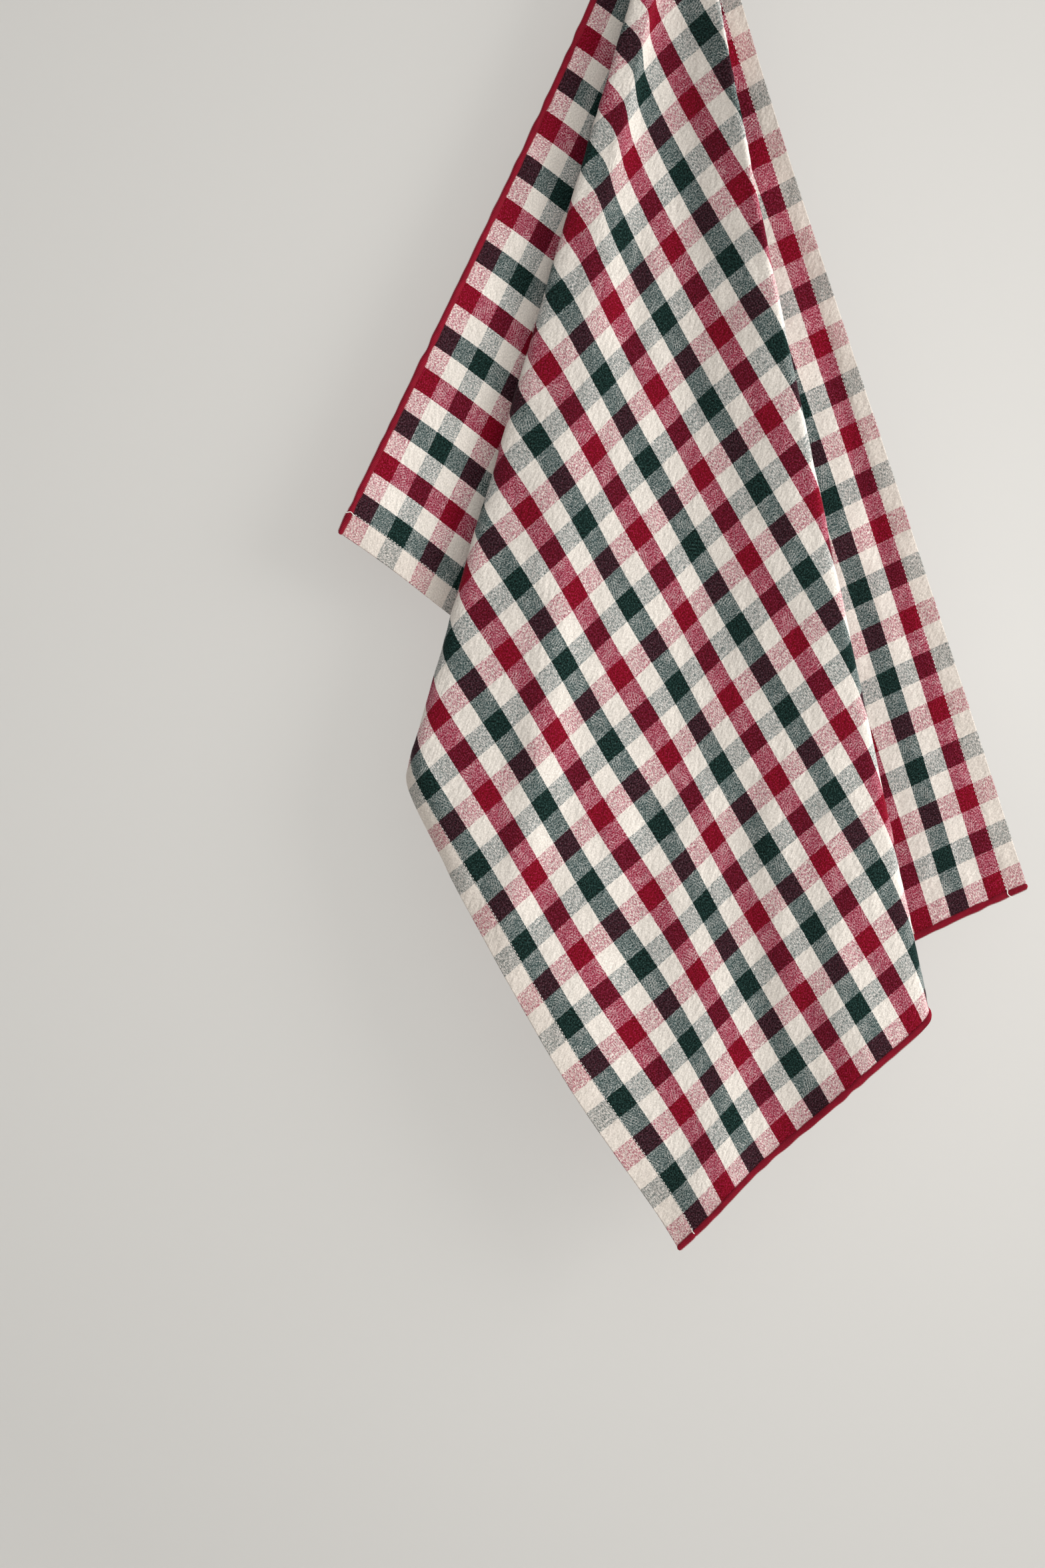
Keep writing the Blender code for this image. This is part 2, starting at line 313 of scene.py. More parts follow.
    def points(self, across: Array, along: Array) -> Array:
        """Where flat places hang.

        Args:
            across: distances from the hung long edge.
            along: distances from the hung short edge.

        Returns:
            Points in the row's frame, in metres.
        """
        rolled = self.hem_roll(across, self.polar(across, along)[0])
        cloth, radius = self.polar(across - self.roll_turn * rolled, along)
        turn = np.radians(cloth)
        crest = self.pleat(cloth, radius)
        slide, shortening = self.gathered(cloth, radius)
        edge_gain = self.long_edge_reach - self.short_edge_reach
        edge_reach = self.short_edge_reach + edge_gain * cloth / 90
        reach = radius * (edge_reach + self.bias_give * np.sin(2 * turn)) * shortening
        reach = reach - self.slack(cloth, radius)
        slid = cloth + slide

        span = self.lower_radius - self.upper_radius
        low = np.clip((radius - self.upper_radius) / span, self.past_upper, self.past_lower)
        folded = self.lines["upper"](slid) * (1 - low) + self.lines["lower"](slid) * low
        openness = np.exp(-radius / self.corner_opening)
        angle = np.radians(folded * (1 - openness) + (cloth - 45) * openness)

        near = radius / self.near_radius
        opening = near**2 * np.exp(2 - 2 * near)
        distance = radius / self.depth_radius
        deepening = distance * (1 + self.depth_easing - self.depth_easing * distance)
        depth = self.lines["near"](slid) * opening + self.lines["depth"](slid) * deepening
        depth = depth + crest + self.ripples(cloth, along) - self.roll_depth * rolled
        return np.stack([reach * np.sin(angle), -depth, -reach * np.cos(angle)], axis=-1)

    def normals(self, across: Array, along: Array) -> Array:
        """Unit normals on the face's side of the cloth, at flat places.

        Args:
            across: distances from the hung long edge.
            along: distances from the hung short edge.

        Returns:
            One unit vector for each place.
        """
        nudge = self.nudge
        by_across = self.points(across + nudge, along) - self.points(across - nudge, along)
        by_along = self.points(across, along + nudge) - self.points(across, along - nudge)
        normal = np.cross(by_across, by_along)
        return normal / np.linalg.norm(normal, axis=-1, keepdims=True)


# ---------------------------------------------------------------- soft relief


@dataclass(frozen=True)
class Wrinkles:
    """One family of soft troughs and ridges, as waves of nearly one length."""

    height: float  # usual height, metres
    length: float  # from ridge to ridge, metres
    run: float  # direction of the waves on the flat cloth, degrees
    spread: float  # degrees to each side of it
    patch: float  # size of the patches in which they come and go
    seed: int
    waves: int = 22
    shortest: float = 0.7  # a single wave's length, as a share of the usual one
    longest: float = 1.4
    faintest: float = 0.1  # strength of the wrinkles from patch to patch
    middling: float = 0.65
    strongest: float = 1.4
    patchiness: float = 0.6

    def field(self, across: Array, along: Array, length: float, shift: int) -> Array:
        """Sum of seeded waves, about -1 to 1.

        Args:
            across: distances from the hung long edge.
            along: distances from the hung short edge.
            length: mean wave length, metres.
            shift: added to the seed, so that two fields differ.

        Returns:
            The sum at each place.
        """
        dice = np.random.default_rng(self.seed + shift)
        total = np.zeros(np.shape(across))
        for _ in range(self.waves):
            way = math.radians(self.run + dice.uniform(-self.spread, self.spread))
            rate = 2 * math.pi / (length * dice.uniform(self.shortest, self.longest))
            phase = dice.uniform(0, 2 * math.pi)
            total += np.cos(rate * (across * math.cos(way) + along * math.sin(way)) + phase)
        return total / math.sqrt(2 * self.waves)

    def lift(self, across: Array, along: Array) -> Array:
        """Height of the wrinkles at flat places.

        Args:
            across: distances from the hung long edge.
            along: distances from the hung short edge.

        Returns:
            The height at each place.
        """
        waves = self.field(across, along, self.length, 0)
        patches = self.middling + self.patchiness * self.field(across, along, self.patch, 1)
        return self.height * waves * np.clip(patches, self.faintest, self.strongest)


class Crease(NamedTuple):
    """One soft trough or ridge that runs out from the hung corner."""

    start_angle: float  # cloth angle at its upper end, degrees
    end_angle: float  # and at its lower end
    start: float  # distance of its upper end from the corner
    end: float
    half_width: float
    height: float  # towards the viewer; a trough's is below 0

    def lift(self, cloth: Array, radius: Array) -> Array:
        """Height of the crease at places given by cloth angle and radius.

        Args:
            cloth: cloth angles, degrees.
            radius: distances from the hung corner.

        Returns:
            The height at each place.
        """
        share = ramp(radius, self.start, self.end - self.start)
        middle = self.start_angle + (self.end_angle - self.start_angle) * share
        beside = bell(radius * np.radians(cloth - middle), self.half_width)
        return self.height * np.sin(math.pi * share) ** 2 * beside


CREASES = (
    Crease(44.5, 45.0, 0.40, 0.74, 0.018, 0.0045),  # ridge inside the left front fold
    Crease(53.0, 52.0, 0.45, 0.86, 0.022, -0.0020),
    Crease(62.5, 61.5, 0.52, 0.84, 0.016, 0.0024),
    Crease(49.5, 49.0, 0.16, 0.40, 0.012, -0.0014),
    Crease(86.6, 86.6, 0.10, 0.70, 0.008, -0.0012),  # the right layer, inside its hem
    Crease(81.5, 82.5, 0.20, 0.66, 0.012, 0.0014),
)


@dataclass(frozen=True)
class FoldEdges:
    """The edges of the two front folds and of the cloth, in front of the folds' middle surface.

    Lengths are in metres, and angles are cloth angles in degrees.
    """

    top: float = 0.13  # the edges stand at their full height from this far from the corner
    right_from: float = 53.0  # the panel rises from here
    right_fold: float = 71.4  # to the right front fold
    right_past: float = 1.4  # and falls over this angle beyond it
    right_bend: float = 1.4
    right_rise: float = 0.0088
    right_end: float = 0.56
    ridge_before: float = 0.7  # the fold's own narrow ridge lies this far inside it
    ridge_width: float = 1.4
    ridge_rise: float = 0.0052
    ridge_end: float = 0.86
    fade: float = 0.30  # over this length, above their lower ends
    left_from: float = 44.0  # the panel rounds off from here to the left front fold
    left_width: float = 9.0
    left_bend: float = 1.3
    left_back: float = 24.0  # and comes forward again on the layer behind
    left_return: float = 8.0
    left_fall: float = 0.0076
    left_start: float = 0.14
    left_length: float = 0.56
    left_swell: float = 1.2
    short_edge_fall: float = 0.0062  # the left back layer turns away from the light
    short_edge_width: float = 14.0
    short_edge_end: float = 0.48
    short_edge_fade: float = 0.24
    long_edge_rise: float = 0.0045
    long_edge_from: float = 80.0
    long_edge_width: float = 10.0

    def right(self, cloth: Array, radius: Array) -> Array:
        """Rise of the panel towards the right front fold, with the fold's ridge.

        Args:
            cloth: cloth angles, degrees.
            radius: distances from the hung corner.

        Returns:
            The distance towards the viewer.
        """
        share = ramp(cloth, self.right_from, self.right_fold - self.right_from)
        beyond = bell(cloth - self.right_fold, self.right_past)
        rise = np.where(cloth > self.right_fold, beyond, share**self.right_bend)
        ridge = bell(cloth - self.right_fold + self.ridge_before, self.ridge_width)
        rise = self.right_rise * rise * ramp(-radius, -self.right_end, self.fade)
        return rise + self.ridge_rise * ridge * ramp(-radius, -self.ridge_end, self.fade)

    def left(self, cloth: Array, radius: Array) -> Array:
        """Fall of the panel towards the left front fold.

        Args:
            cloth: cloth angles, degrees.
            radius: distances from the hung corner.

        Returns:
            The distance away from the viewer.
        """
        round_off = ramp(-cloth, -self.left_from, self.left_width) ** self.left_bend
        round_off = round_off * ramp(cloth, self.left_back, self.left_return)
        share = ramp(radius, self.left_start, self.left_length)
        return self.left_fall * round_off * np.sin(math.pi * share) ** self.left_swell

    def outer(self, cloth: Array, radius: Array) -> Array:
        """Rise of the long edge at the right and fall of the short edge at the left.

        Args:
            cloth: cloth angles, degrees.
            radius: distances from the hung corner.

        Returns:
            The distance towards the viewer.
        """
        short_edge = np.clip(1 - cloth / self.short_edge_width, 0, 1)
        short_edge = short_edge * ramp(-radius, -self.short_edge_end, self.short_edge_fade)
        long_edge = ramp(cloth, self.long_edge_from, self.long_edge_width)
        return self.long_edge_rise * long_edge - self.short_edge_fall * short_edge

    def forward(self, cloth: Array, radius: Array) -> Array:
        """All of them together, towards the viewer."""
        rise = self.right(cloth, radius) + self.outer(cloth, radius)
        return rise * np.clip(radius / self.top, 0, 1) ** 2 - self.left(cloth, radius)


@dataclass
class Relief:
    """Everything that lifts the cloth off its folds' middle surface."""

    shape: HungShape
    seam: float  # the hem seams' distance from the long edges
    edges: FoldEdges = FoldEdges()
    smooth_radius: float = 0.12  # the wrinkles fade out towards the hung corner
    pucker: Wrinkles = Wrinkles(0.00035, 0.0085, 90.0, 22.0, 0.05, 53)
    pucker_reach: float = 0.010
    groove: float = 0.00026
    groove_width: float = 0.0010
    families: tuple[Wrinkles, ...] = (
        Wrinkles(0.00060, 0.052, 0.0, 90.0, 0.16, 11),
        Wrinkles(0.00026, 0.017, 20.0, 70.0, 0.07, 23),
        Wrinkles(0.00009, 0.0085, 0.0, 90.0, 0.04, 37),
    )

    def from_seam(self, across: Array) -> Array:
        """Distance from the nearer hem seam."""
        return np.minimum(np.abs(across - self.seam), np.abs(SHORT_SIDE - self.seam - across))

    def lift(self, across: Array, along: Array) -> Array:
        """Height of the cloth's middle above its folds' surface, at flat places.

        Args:
            across: distances from the hung long edge.
            along: distances from the hung short edge.

        Returns:
            The height at each place.
        """
        cloth, radius = self.shape.polar(across, along)
        total = np.zeros(np.shape(across))
        for family in self.families:
            total += family.lift(across, along)
        for crease in CREASES:
            total += crease.lift(cloth, radius)
        total *= np.clip(radius / self.smooth_radius, 0, 1)
        beside = bell(self.from_seam(across), self.pucker_reach)
        return total + self.pucker.lift(across, along) * beside

    def hung(self, across: Array, along: Array) -> Array:
        """Places on the cloth's middle with the folds' edges, before the wrinkles.

        Args:
            across: distances from the hung long edge.
            along: distances from the hung short edge.

        Returns:
            Points in the row's frame, in metres.
        """
        points = self.shape.points(across, along)
        points[..., 1] -= self.edges.forward(*self.shape.polar(across, along))
        return points

    def stitched_in(self, across: Array) -> Array:
        """How deep each surface is drawn in by the hem's stitches."""
        return self.groove * bell(self.from_seam(across), self.groove_width)


# ---------------------------------------------------------------- material kit


USUAL_NOISE = (0.3, 0.7)  # where nearly all of a noise's values lie


class Grain(NamedTuple):
    """One noise over the flat cloth."""

    scale: float  # grains in a metre
    stretch: tuple[float, float] = (1.0, 1.0)  # more or fewer of them on each axis
    turn: float = 0.0  # radians
    detail: float = 1.0  # how many finer layers it has
    roughness: float = 0.5  # how strong they are


class NodeKit:
    """Adds and joins shader nodes in one node tree."""

    def __init__(self, tree: NodeTree) -> None:
        """Keeps the tree that the nodes go into."""
        self.tree = tree

    def add(self, kind: str, **settings: object) -> Node:
        """Adds a node.

        Args:
            kind: the node's Blender type.
            settings: its properties by name.

        Returns:
            The node.
        """
        node = self.tree.nodes.new(kind)
        for name, value in settings.items():
            setattr(node, name, value)
        return node

    def feed(self, node: Node, **inputs: object) -> Node:
        """Sets or links inputs, by name with underscores for spaces.

        Args:
            node: the node.
            inputs: numbers and colours to set, or sockets to link.

        Returns:
            The same node.
        """
        for name, value in inputs.items():
            self.join(node.inputs[name.replace("_", " ")], value)
        return node

    def join(self, socket: NodeSocket, value: object) -> None:
        """Links a socket to another one, or sets it to a number or colour.

        Args:
            socket: the input.
            value: an output socket, a number, a vector or a colour.
        """
        if isinstance(value, NodeSocket):
            self.tree.links.new(value, socket)
        elif isinstance(value, tuple) and len(value) == 3 and socket.type == "RGBA":
            socket.default_value = (*value, 1.0)
        else:
            socket.default_value = value

    def maths(self, operation: str, *values: object) -> NodeSocket:
        """A Math node's result.

        Args:
            operation: its operation.
            values: numbers or sockets, in order.

        Returns:
            The output socket.
        """
        node = self.add("ShaderNodeMath", operation=operation)
        for socket, value in zip(node.inputs, values):
            self.join(socket, value)
        return node.outputs[0]

    def vector_maths(self, operation: str, *values: object) -> Node:
        """A Vector Math node with its inputs set.

        Args:
            operation: its operation.
            values: vectors or sockets, in order.

        Returns:
            The node.
        """
        node = self.add("ShaderNodeVectorMath", operation=operation)
        for socket, value in zip(node.inputs, values):
            self.join(socket, value)
        return node

    def parts(self, vector: object) -> bpy.types.bpy_prop_collection:
        """A vector's three parts, as outputs."""
        return self.feed(self.add("ShaderNodeSeparateXYZ"), Vector=vector).outputs

    def grey(self, value: object) -> NodeSocket:
        """A grey of one value."""
        node = self.add("ShaderNodeCombineColor")
        return self.feed(node, Red=value, Green=value, Blue=value).outputs[0]

    def blend(self, share: object, first: object, second: object, way: str = "MIX") -> NodeSocket:
        """A colour mix's result.

        Args:
            share: the second colour's share.
            first: a colour or socket.
            second: a colour or socket.
            way: the blend type.

        Returns:
            The output socket.
        """
        node = self.add("ShaderNodeMix", data_type="RGBA", blend_type=way)
        self.join(node.inputs[0], share)
        self.join(node.inputs[6], first)
        self.join(node.inputs[7], second)
        return node.outputs[2]

    def spread(
        self, value: object, low: float, high: float, to_low: float = 0.0, to_high: float = 1.0
    ) -> NodeSocket:
        """Maps low..high to to_low..to_high, held at the ends.

        Args:
            value: the number or socket to map.
            low: start of its range.
            high: end of its range.
            to_low: what the start becomes.
            to_high: what the end becomes.

        Returns:
            The output socket.
        """
        node = self.add("ShaderNodeMapRange", clamp=True)
        for socket, number in zip(node.inputs, (value, low, high, to_low, to_high)):
            self.join(socket, number)
        return node.outputs[0]

    def turned(self, vector: object, turn: float) -> NodeSocket:
        """A vector turned about its third axis, by radians."""
        node = self.add("ShaderNodeMapping")
        return self.feed(node, Vector=vector, Rotation=(0.0, 0.0, turn)).outputs[0]

    def noise(self, vector: object, grain: Grain) -> NodeSocket:
        """A noise texture's value, from 0 to 1 around 0.5.

        Args:
            vector: the place.
            grain: the kind of noise.

        Returns:
            The output socket.
        """
        if grain.turn or grain.stretch != (1.0, 1.0):
            stretch = self.add("ShaderNodeMapping")
            self.feed(stretch, Vector=self.turned(vector, grain.turn), Scale=(*grain.stretch, 1.0))
            vector = stretch.outputs[0]
        node = self.add("ShaderNodeTexNoise")
        self.feed(node, Vector=vector, Scale=grain.scale)
        self.feed(node, Detail=grain.detail, Roughness=grain.roughness)
        return node.outputs[0]


def new_material(name: str) -> tuple[Material, NodeKit, Node]:
    """Starts a material.

    Args:
        name: its name.

    Returns:
        The material, a kit for its nodes, and its Principled BSDF.
    """
    material = bpy.data.materials.new(name)
    material.use_nodes = True
    return material, NodeKit(material.node_tree), material.node_tree.nodes["Principled BSDF"]


def group(
    name: str, inputs: dict[str, str], outputs: dict[str, str]
) -> tuple[NodeTree, NodeKit, dict]:
    """Starts a shader node group.

    Args:
        name: the group's name.
        inputs: socket names with their kinds, such as "Float".
        outputs: the same for what it puts out.

    Returns:
        The tree, a kit for it, and its inner input sockets and output node by name.
    """
    tree = bpy.data.node_groups.new(name, "ShaderNodeTree")
    for direction, sockets in (("INPUT", inputs), ("OUTPUT", outputs)):
        for label, kind in sockets.items():
            tree.interface.new_socket(label, in_out=direction, socket_type=f"NodeSocket{kind}")
    kit = NodeKit(tree)
    source = kit.add("NodeGroupInput")
    sink = kit.add("NodeGroupOutput")
    ends = {label: source.outputs[label] for label in inputs}
    ends["out"] = sink
    return tree, kit, ends


BROAD_CRINKLE = Grain(260.0, (1.0, 0.5), 1.1)
CROSS_CRINKLE = Grain(390.0, (0.6, 1.0), -0.35)
FUZZ = Grain(1500.0, detail=2.0, roughness=0.6)
UNEVEN_DYE = Grain(160.0, detail=3.0, roughness=0.6)
WORN_FIBRES = Grain(1300.0, detail=2.0, roughness=0.7)
WORN_RANGE = (0.58, 0.75)  # the noise at which fibres start to show and show fully


def crinkle_group() -> NodeTree:
    """Group: the height of washed cotton's small crinkles and fuzz, in metres.

    Returns:
        The group.
    """
    tree, kit, ends = group(
        "washed_crinkle",
        {"Place": "Vector", "Crinkle": "Float", "Fuzz": "Float"},
        {"Height": "Float"},
    )
    grains = (BROAD_CRINKLE, CROSS_CRINKLE, FUZZ)
    broad, cross, fuzz = (kit.noise(ends["Place"], grain) for grain in grains)
    crinkled = kit.maths("MULTIPLY", kit.maths("ADD", broad, cross), ends["Crinkle"])
    height = kit.maths("MULTIPLY_ADD", fuzz, ends["Fuzz"], crinkled)
    kit.join(ends["out"].inputs["Height"], height)
    return tree


def thread_colour_group() -> NodeTree:
    """Group: a dyed thread's colour with uneven dye and pale worn fibres.

    Returns:
        The group.
    """
    tree, kit, ends = group(
        "thread_dye",
        {
            "Place": "Vector",
            "Dye": "Color",
            "Worn": "Color",
            "Unevenness": "Float",
            "Wear": "Float",
        },
        {"Color": "Color"},
    )
    shade = kit.spread(kit.noise(ends["Place"], UNEVEN_DYE), *USUAL_NOISE, -1.0, 1.0)
    factor = kit.maths("MULTIPLY_ADD", shade, ends["Unevenness"], 1.0)
    dyed = kit.blend(1.0, ends["Dye"], kit.grey(factor), "MULTIPLY")
    fibres = kit.spread(kit.noise(ends["Place"], WORN_FIBRES), *WORN_RANGE)
    worn = kit.blend(kit.maths("MULTIPLY", fibres, ends["Wear"]), dyed, ends["Worn"])
    kit.join(ends["out"].inputs["Color"], worn)
    return tree


def fibrous(kit: NodeKit, shader: Node, height: object) -> None:
    """Gives a cotton's shader its bump, from a height in metres, with a faint gloss and sheen."""
    bump = kit.feed(kit.add("ShaderNodeBump"), Height=height, Distance=1.0, Strength=1.0)
    kit.feed(shader, Normal=bump.outputs[0], Specular_IOR_Level=0.15, Sheen_Roughness=0.5)


@dataclass(frozen=True)
class Dyes:
    """The three yarn colours, on the display's scale from 0 to 1."""

    cream: Triple = (0.910, 0.881, 0.846)
    crimson: Triple = (0.482, 0.006, 0.126)
    green: Triple = (0.075, 0.166, 0.153)


class Fan(NamedTuple):
    """One way in which short worn creases run."""

    turn: float  # radians on the flat cloth
    patches: float  # how many of its patches a metre has


@dataclass(frozen=True)
class GinghamCotton:
    """The finish of the washed gingham: check, heather, creases and crinkle."""

    dyes: Dyes = Dyes()
    # the brown that the hems are darkened towards
    hem_darkening_brown: Triple = (0.50, 0.40, 0.34)
    warp_stripes: int = 33
    weft_stripes: int = 45
    repeat: int = 4
    cool_grey: Triple = (0.50, 0.53, 0.65)
    cooling: float = 0.10  # its share where green and cream mix
    show_through: float = 0.272  # the weft's usual share of a mixed check
    pale_weft: float = 0.07  # more of it shows where it is cream
    crimson_weft: float = 0.06  # and where it is crimson over green
    speckle: float = 0.32
    dark_speckle: float = 0.08  # the same where both yarns are dyed
    mottle: float = 0.62  # of dyed yarns
    pale_mottle: float = 0.30
    grain: Grain = Grain(1050.0, (1.0, 0.8), 0.7)
    grain_middle: float = 0.488
    darkest: Triple = (0.012, 0.012, 0.012)
    rag: Triple = (0.0009, 0.0012, 0.0)  # how far the stripes' edges stray
    rag_grain: float = 900.0
    specks: Grain = Grain(1150.0, (1.0, 0.9))
    strokes: Grain = Grain(1250.0, (1.15, 0.5), -0.12)
    slubs: Grain = Grain(700.0, (0.35, 1.0), 0.08, detail=0.0)
    slub_share: float = 0.15
    heather_range: tuple[float, float] = (0.39, 0.76)
    frost: float = 0.58
    fans: tuple[Fan, ...] = (Fan(0.35, 75.0), Fan(-0.55, 90.0), Fan(1.25, 83.0))
    fan_lines: float = 185.0
    fan_sway: float = 2.0
    line_range: tuple[float, float] = (0.80, 0.98)  # how much of each wave is a line
    patch_range: tuple[float, float] = (0.585, 0.635)  # where the noise is high enough for lines
    clouds: Grain = Grain(26.0, detail=3.0, roughness=0.6)
    cloud_shades: tuple[float, float] = (0.955, 1.02)
    weave_height: float = 0.00002
    yarn: float = 0.00052
    crinkle: float = 0.00056
    fuzz: float = 0.00012
    hem: float = 0.0151
    hem_line: float = 0.0004  # half the width of the line where it ends
    hem_shade: float = 0.10  # how far the hems are darkened towards that brown
    roughness: float = 0.92
    sheen: float = 0.05
    gamma: float = 2.2

    def stripes(self, kit: NodeKit, place: object, pitch: float, first: int) -> tuple:
        """Masks of the dyed stripes, which repeat as crimson, cream, green, cream.

        Args:
            kit: the material's nodes.
            place: distance from the edge, metres.
            pitch: a stripe's width.
            first: which stripe of the repeat is crimson.

        Returns:
            Sockets that are 1 in the crimson stripes, and 1 in the green ones.
        """
        number = kit.maths("FLOOR", kit.maths("DIVIDE", place, pitch))
        turn = kit.maths("FLOORED_MODULO", number, float(self.repeat))
        opposite = (first + self.repeat // 2) % self.repeat
        crimson = kit.maths("COMPARE", turn, float(first), 0.25)
        return crimson, kit.maths("COMPARE", turn, float(opposite), 0.25)

    def material(self, crinkle: NodeTree) -> Material:
        """Makes the material.

        Args:
            crinkle: the shared crinkle group.

        Returns:
            The gingham material.
        """
        material, kit, shader = new_material("washed_gingham")
        flat = kit.add("ShaderNodeUVMap", uv_map=FLAT_MAP).outputs[0]
        colour = self.woven(kit, flat)
        gamma = kit.feed(kit.add("ShaderNodeGamma"), Color=colour, Gamma=self.gamma)

        height = kit.add("ShaderNodeGroup", node_tree=crinkle)
        kit.feed(height, Place=flat, Crinkle=self.crinkle, Fuzz=self.fuzz)
        weave = self.plain_weave(kit, flat)
        relief = kit.maths("MULTIPLY_ADD", weave, self.weave_height, height.outputs["Height"])
        kit.feed(shader, Base_Color=gamma.outputs[0], Roughness=self.roughness)
        kit.feed(shader, Sheen_Weight=self.sheen)
        fibrous(kit, shader, relief)
        return material

    def woven(self, kit: NodeKit, flat: object) -> NodeSocket:
        """The colour of warp and weft together, on the display's scale.

        Args:
            kit: the material's nodes.
            flat: flat places.

        Returns:
            The colour.
        """
        across, along = kit.parts(self.ragged(kit, flat))[:2]
        warp_red, warp_green = self.stripes(kit, across, SHORT_SIDE / self.warp_stripes, 1)
        weft_red, weft_green = self.stripes(kit, along, LONG_SIDE / self.weft_stripes, 0)
        warp = self.dyed(kit, warp_red, warp_green)
        weft = self.dyed(kit, weft_red, weft_green)

        crossed = kit.maths("MULTIPLY", warp_green, weft_red)
        dyed_warp = kit.maths("ADD", warp_red, warp_green)
        dyed_weft = kit.maths("ADD", weft_red, weft_green)
        most = self.show_through + self.pale_weft
        share = kit.maths("MULTIPLY_ADD", dyed_weft, -self.pale_weft, most)
        share = kit.maths("MULTIPLY_ADD", crossed, self.crimson_weft, share)
        both = kit.maths("MULTIPLY", dyed_warp, dyed_weft)
        strength = kit.spread(both, 0.0, 1.0, self.speckle, self.dark_speckle)
        speckled = kit.maths("MULTIPLY_ADD", self.heather(kit, flat, dyed_warp), strength, share)
        colour = kit.blend(kit.spread(speckled, 0.0, 1.0), warp, weft)
        mixed = kit.maths("ABSOLUTE", kit.maths("SUBTRACT", dyed_warp, dyed_weft))
        frosted = kit.maths("MULTIPLY", mixed, self.frost)
        creases = kit.maths("MULTIPLY", self.frosting(kit, flat), frosted)
        colour = kit.blend(creases, colour, self.dyes.cream)
        green = kit.maths("MULTIPLY", mixed, kit.maths("MAXIMUM", warp_green, weft_green))
        colour = kit.blend(kit.maths("MULTIPLY", green, self.cooling), colour, self.cool_grey)
        dyed_yarns = kit.maths("ADD", dyed_warp, dyed_weft)
        mottle = kit.spread(dyed_yarns, 0.0, 2.0, self.pale_mottle, self.mottle)
        colour = self.mottled(kit, flat, colour, mottle)
        colour = kit.blend(1.0, colour, self.cloudiness(kit, flat), "MULTIPLY")
        return kit.blend(self.in_hem(kit, flat), colour, self.hem_darkening_brown)

    def in_hem(self, kit: NodeKit, flat: object) -> NodeSocket:
        """How far the hems are darkened towards their brown.

        Args:
            kit: the material's nodes.
            flat: flat places.

        Returns:
            The share, 0 outside the hems.
        """
        middle = SHORT_SIDE / 2
        from_middle = kit.maths("ABSOLUTE", kit.maths("SUBTRACT", kit.parts(flat)[0], middle))
        inner, outer = middle - self.hem - self.hem_line, middle - self.hem + self.hem_line
        return kit.spread(from_middle, inner, outer, 0.0, self.hem_shade)

    def dyed(self, kit: NodeKit, crimson: object, green: object) -> NodeSocket:
        """The yarn colour from its stripe masks."""
        colour = kit.blend(crimson, self.dyes.cream, self.dyes.crimson)
        return kit.blend(green, colour, self.dyes.green)

    def ragged(self, kit: NodeKit, flat: object) -> NodeSocket:
        """Flat places moved by less than a yarn, so that the stripes' edges look woven.

        Args:
            kit: the material's nodes.
            flat: flat places.

        Returns:
            The moved places.
        """
        noise = kit.add("ShaderNodeTexNoise")
        kit.feed(noise, Vector=flat, Scale=self.rag_grain, Detail=1.0)
        centred = kit.vector_maths("SUBTRACT", noise.outputs["Color"], (0.5, 0.5, 0.5)).outputs[0]
        return kit.vector_maths("MULTIPLY_ADD", centred, self.rag, flat).outputs[0]

    def heather(self, kit: NodeKit, flat: object, dyed_warp: object) -> NodeSocket:
        """Speckle of the crossing yarns, from about -1 to 1.

        Args:
            kit: the material's nodes.
            flat: flat places.
            dyed_warp: 1 where the warp is dyed, and the specks are rounder.

        Returns:
            The speckle.
        """
        grains = (self.specks, self.strokes, self.slubs)
        specks, strokes, slubs = (kit.noise(flat, grain) for grain in grains)
        chosen = kit.add("ShaderNodeMix", data_type="FLOAT")
        kit.join(chosen.inputs[0], dyed_warp)
        kit.join(chosen.inputs[2], strokes)
        kit.join(chosen.inputs[3], specks)
        mixed = kit.maths("MULTIPLY_ADD", slubs, self.slub_share, chosen.outputs[0])
        return kit.spread(mixed, *self.heather_range, -1.0, 1.0)

    def mottled(self, kit: NodeKit, flat: object, colour: object, amount: object) -> NodeSocket:
        """The colour with pale fibre ends and dark gaps between the yarns.

        Args:
            kit: the material's nodes.
            flat: flat places.
            colour: the yarns' colour.
            amount: how strong they are.

        Returns:
            The mottled colour.
        """
        grain = kit.maths("SUBTRACT", kit.noise(flat, self.grain), self.grain_middle)
        grey = kit.maths("MULTIPLY", grain, amount)
        lifted = kit.vector_maths("ADD", colour, grey).outputs[0]
        return kit.vector_maths("MAXIMUM", lifted, self.darkest).outputs[0]

    def frosting(self, kit: NodeKit, flat: object) -> NodeSocket:
        """Short fans of thin pale lines where creases have worn the dye.

        Args:
            kit: the material's nodes.
            flat: flat places.

        Returns:
            The lines' strength, from 0 to 1.
        """
        total = None
        for fan in self.fans:
            place = kit.turned(flat, fan.turn)
            lines = kit.add("ShaderNodeTexWave", bands_direction="X")
            kit.feed(lines, Vector=place, Scale=self.fan_lines)
            kit.feed(lines, Distortion=self.fan_sway, Detail=1.0, Detail_Scale=0.45)
            thin = kit.spread(lines.outputs["Fac"], *self.line_range)
            here = kit.spread(kit.noise(place, Grain(fan.patches)), *self.patch_range)
            short = kit.maths("MULTIPLY", thin, here)
            total = short if total is None else kit.maths("MAXIMUM", total, short)
        return total

    def cloudiness(self, kit: NodeKit, flat: object) -> NodeSocket:
        """Faint unevenness of the washed dye over a few centimetres, as a grey to multiply with."""
        return kit.grey(kit.spread(kit.noise(flat, self.clouds), *USUAL_NOISE, *self.cloud_shades))

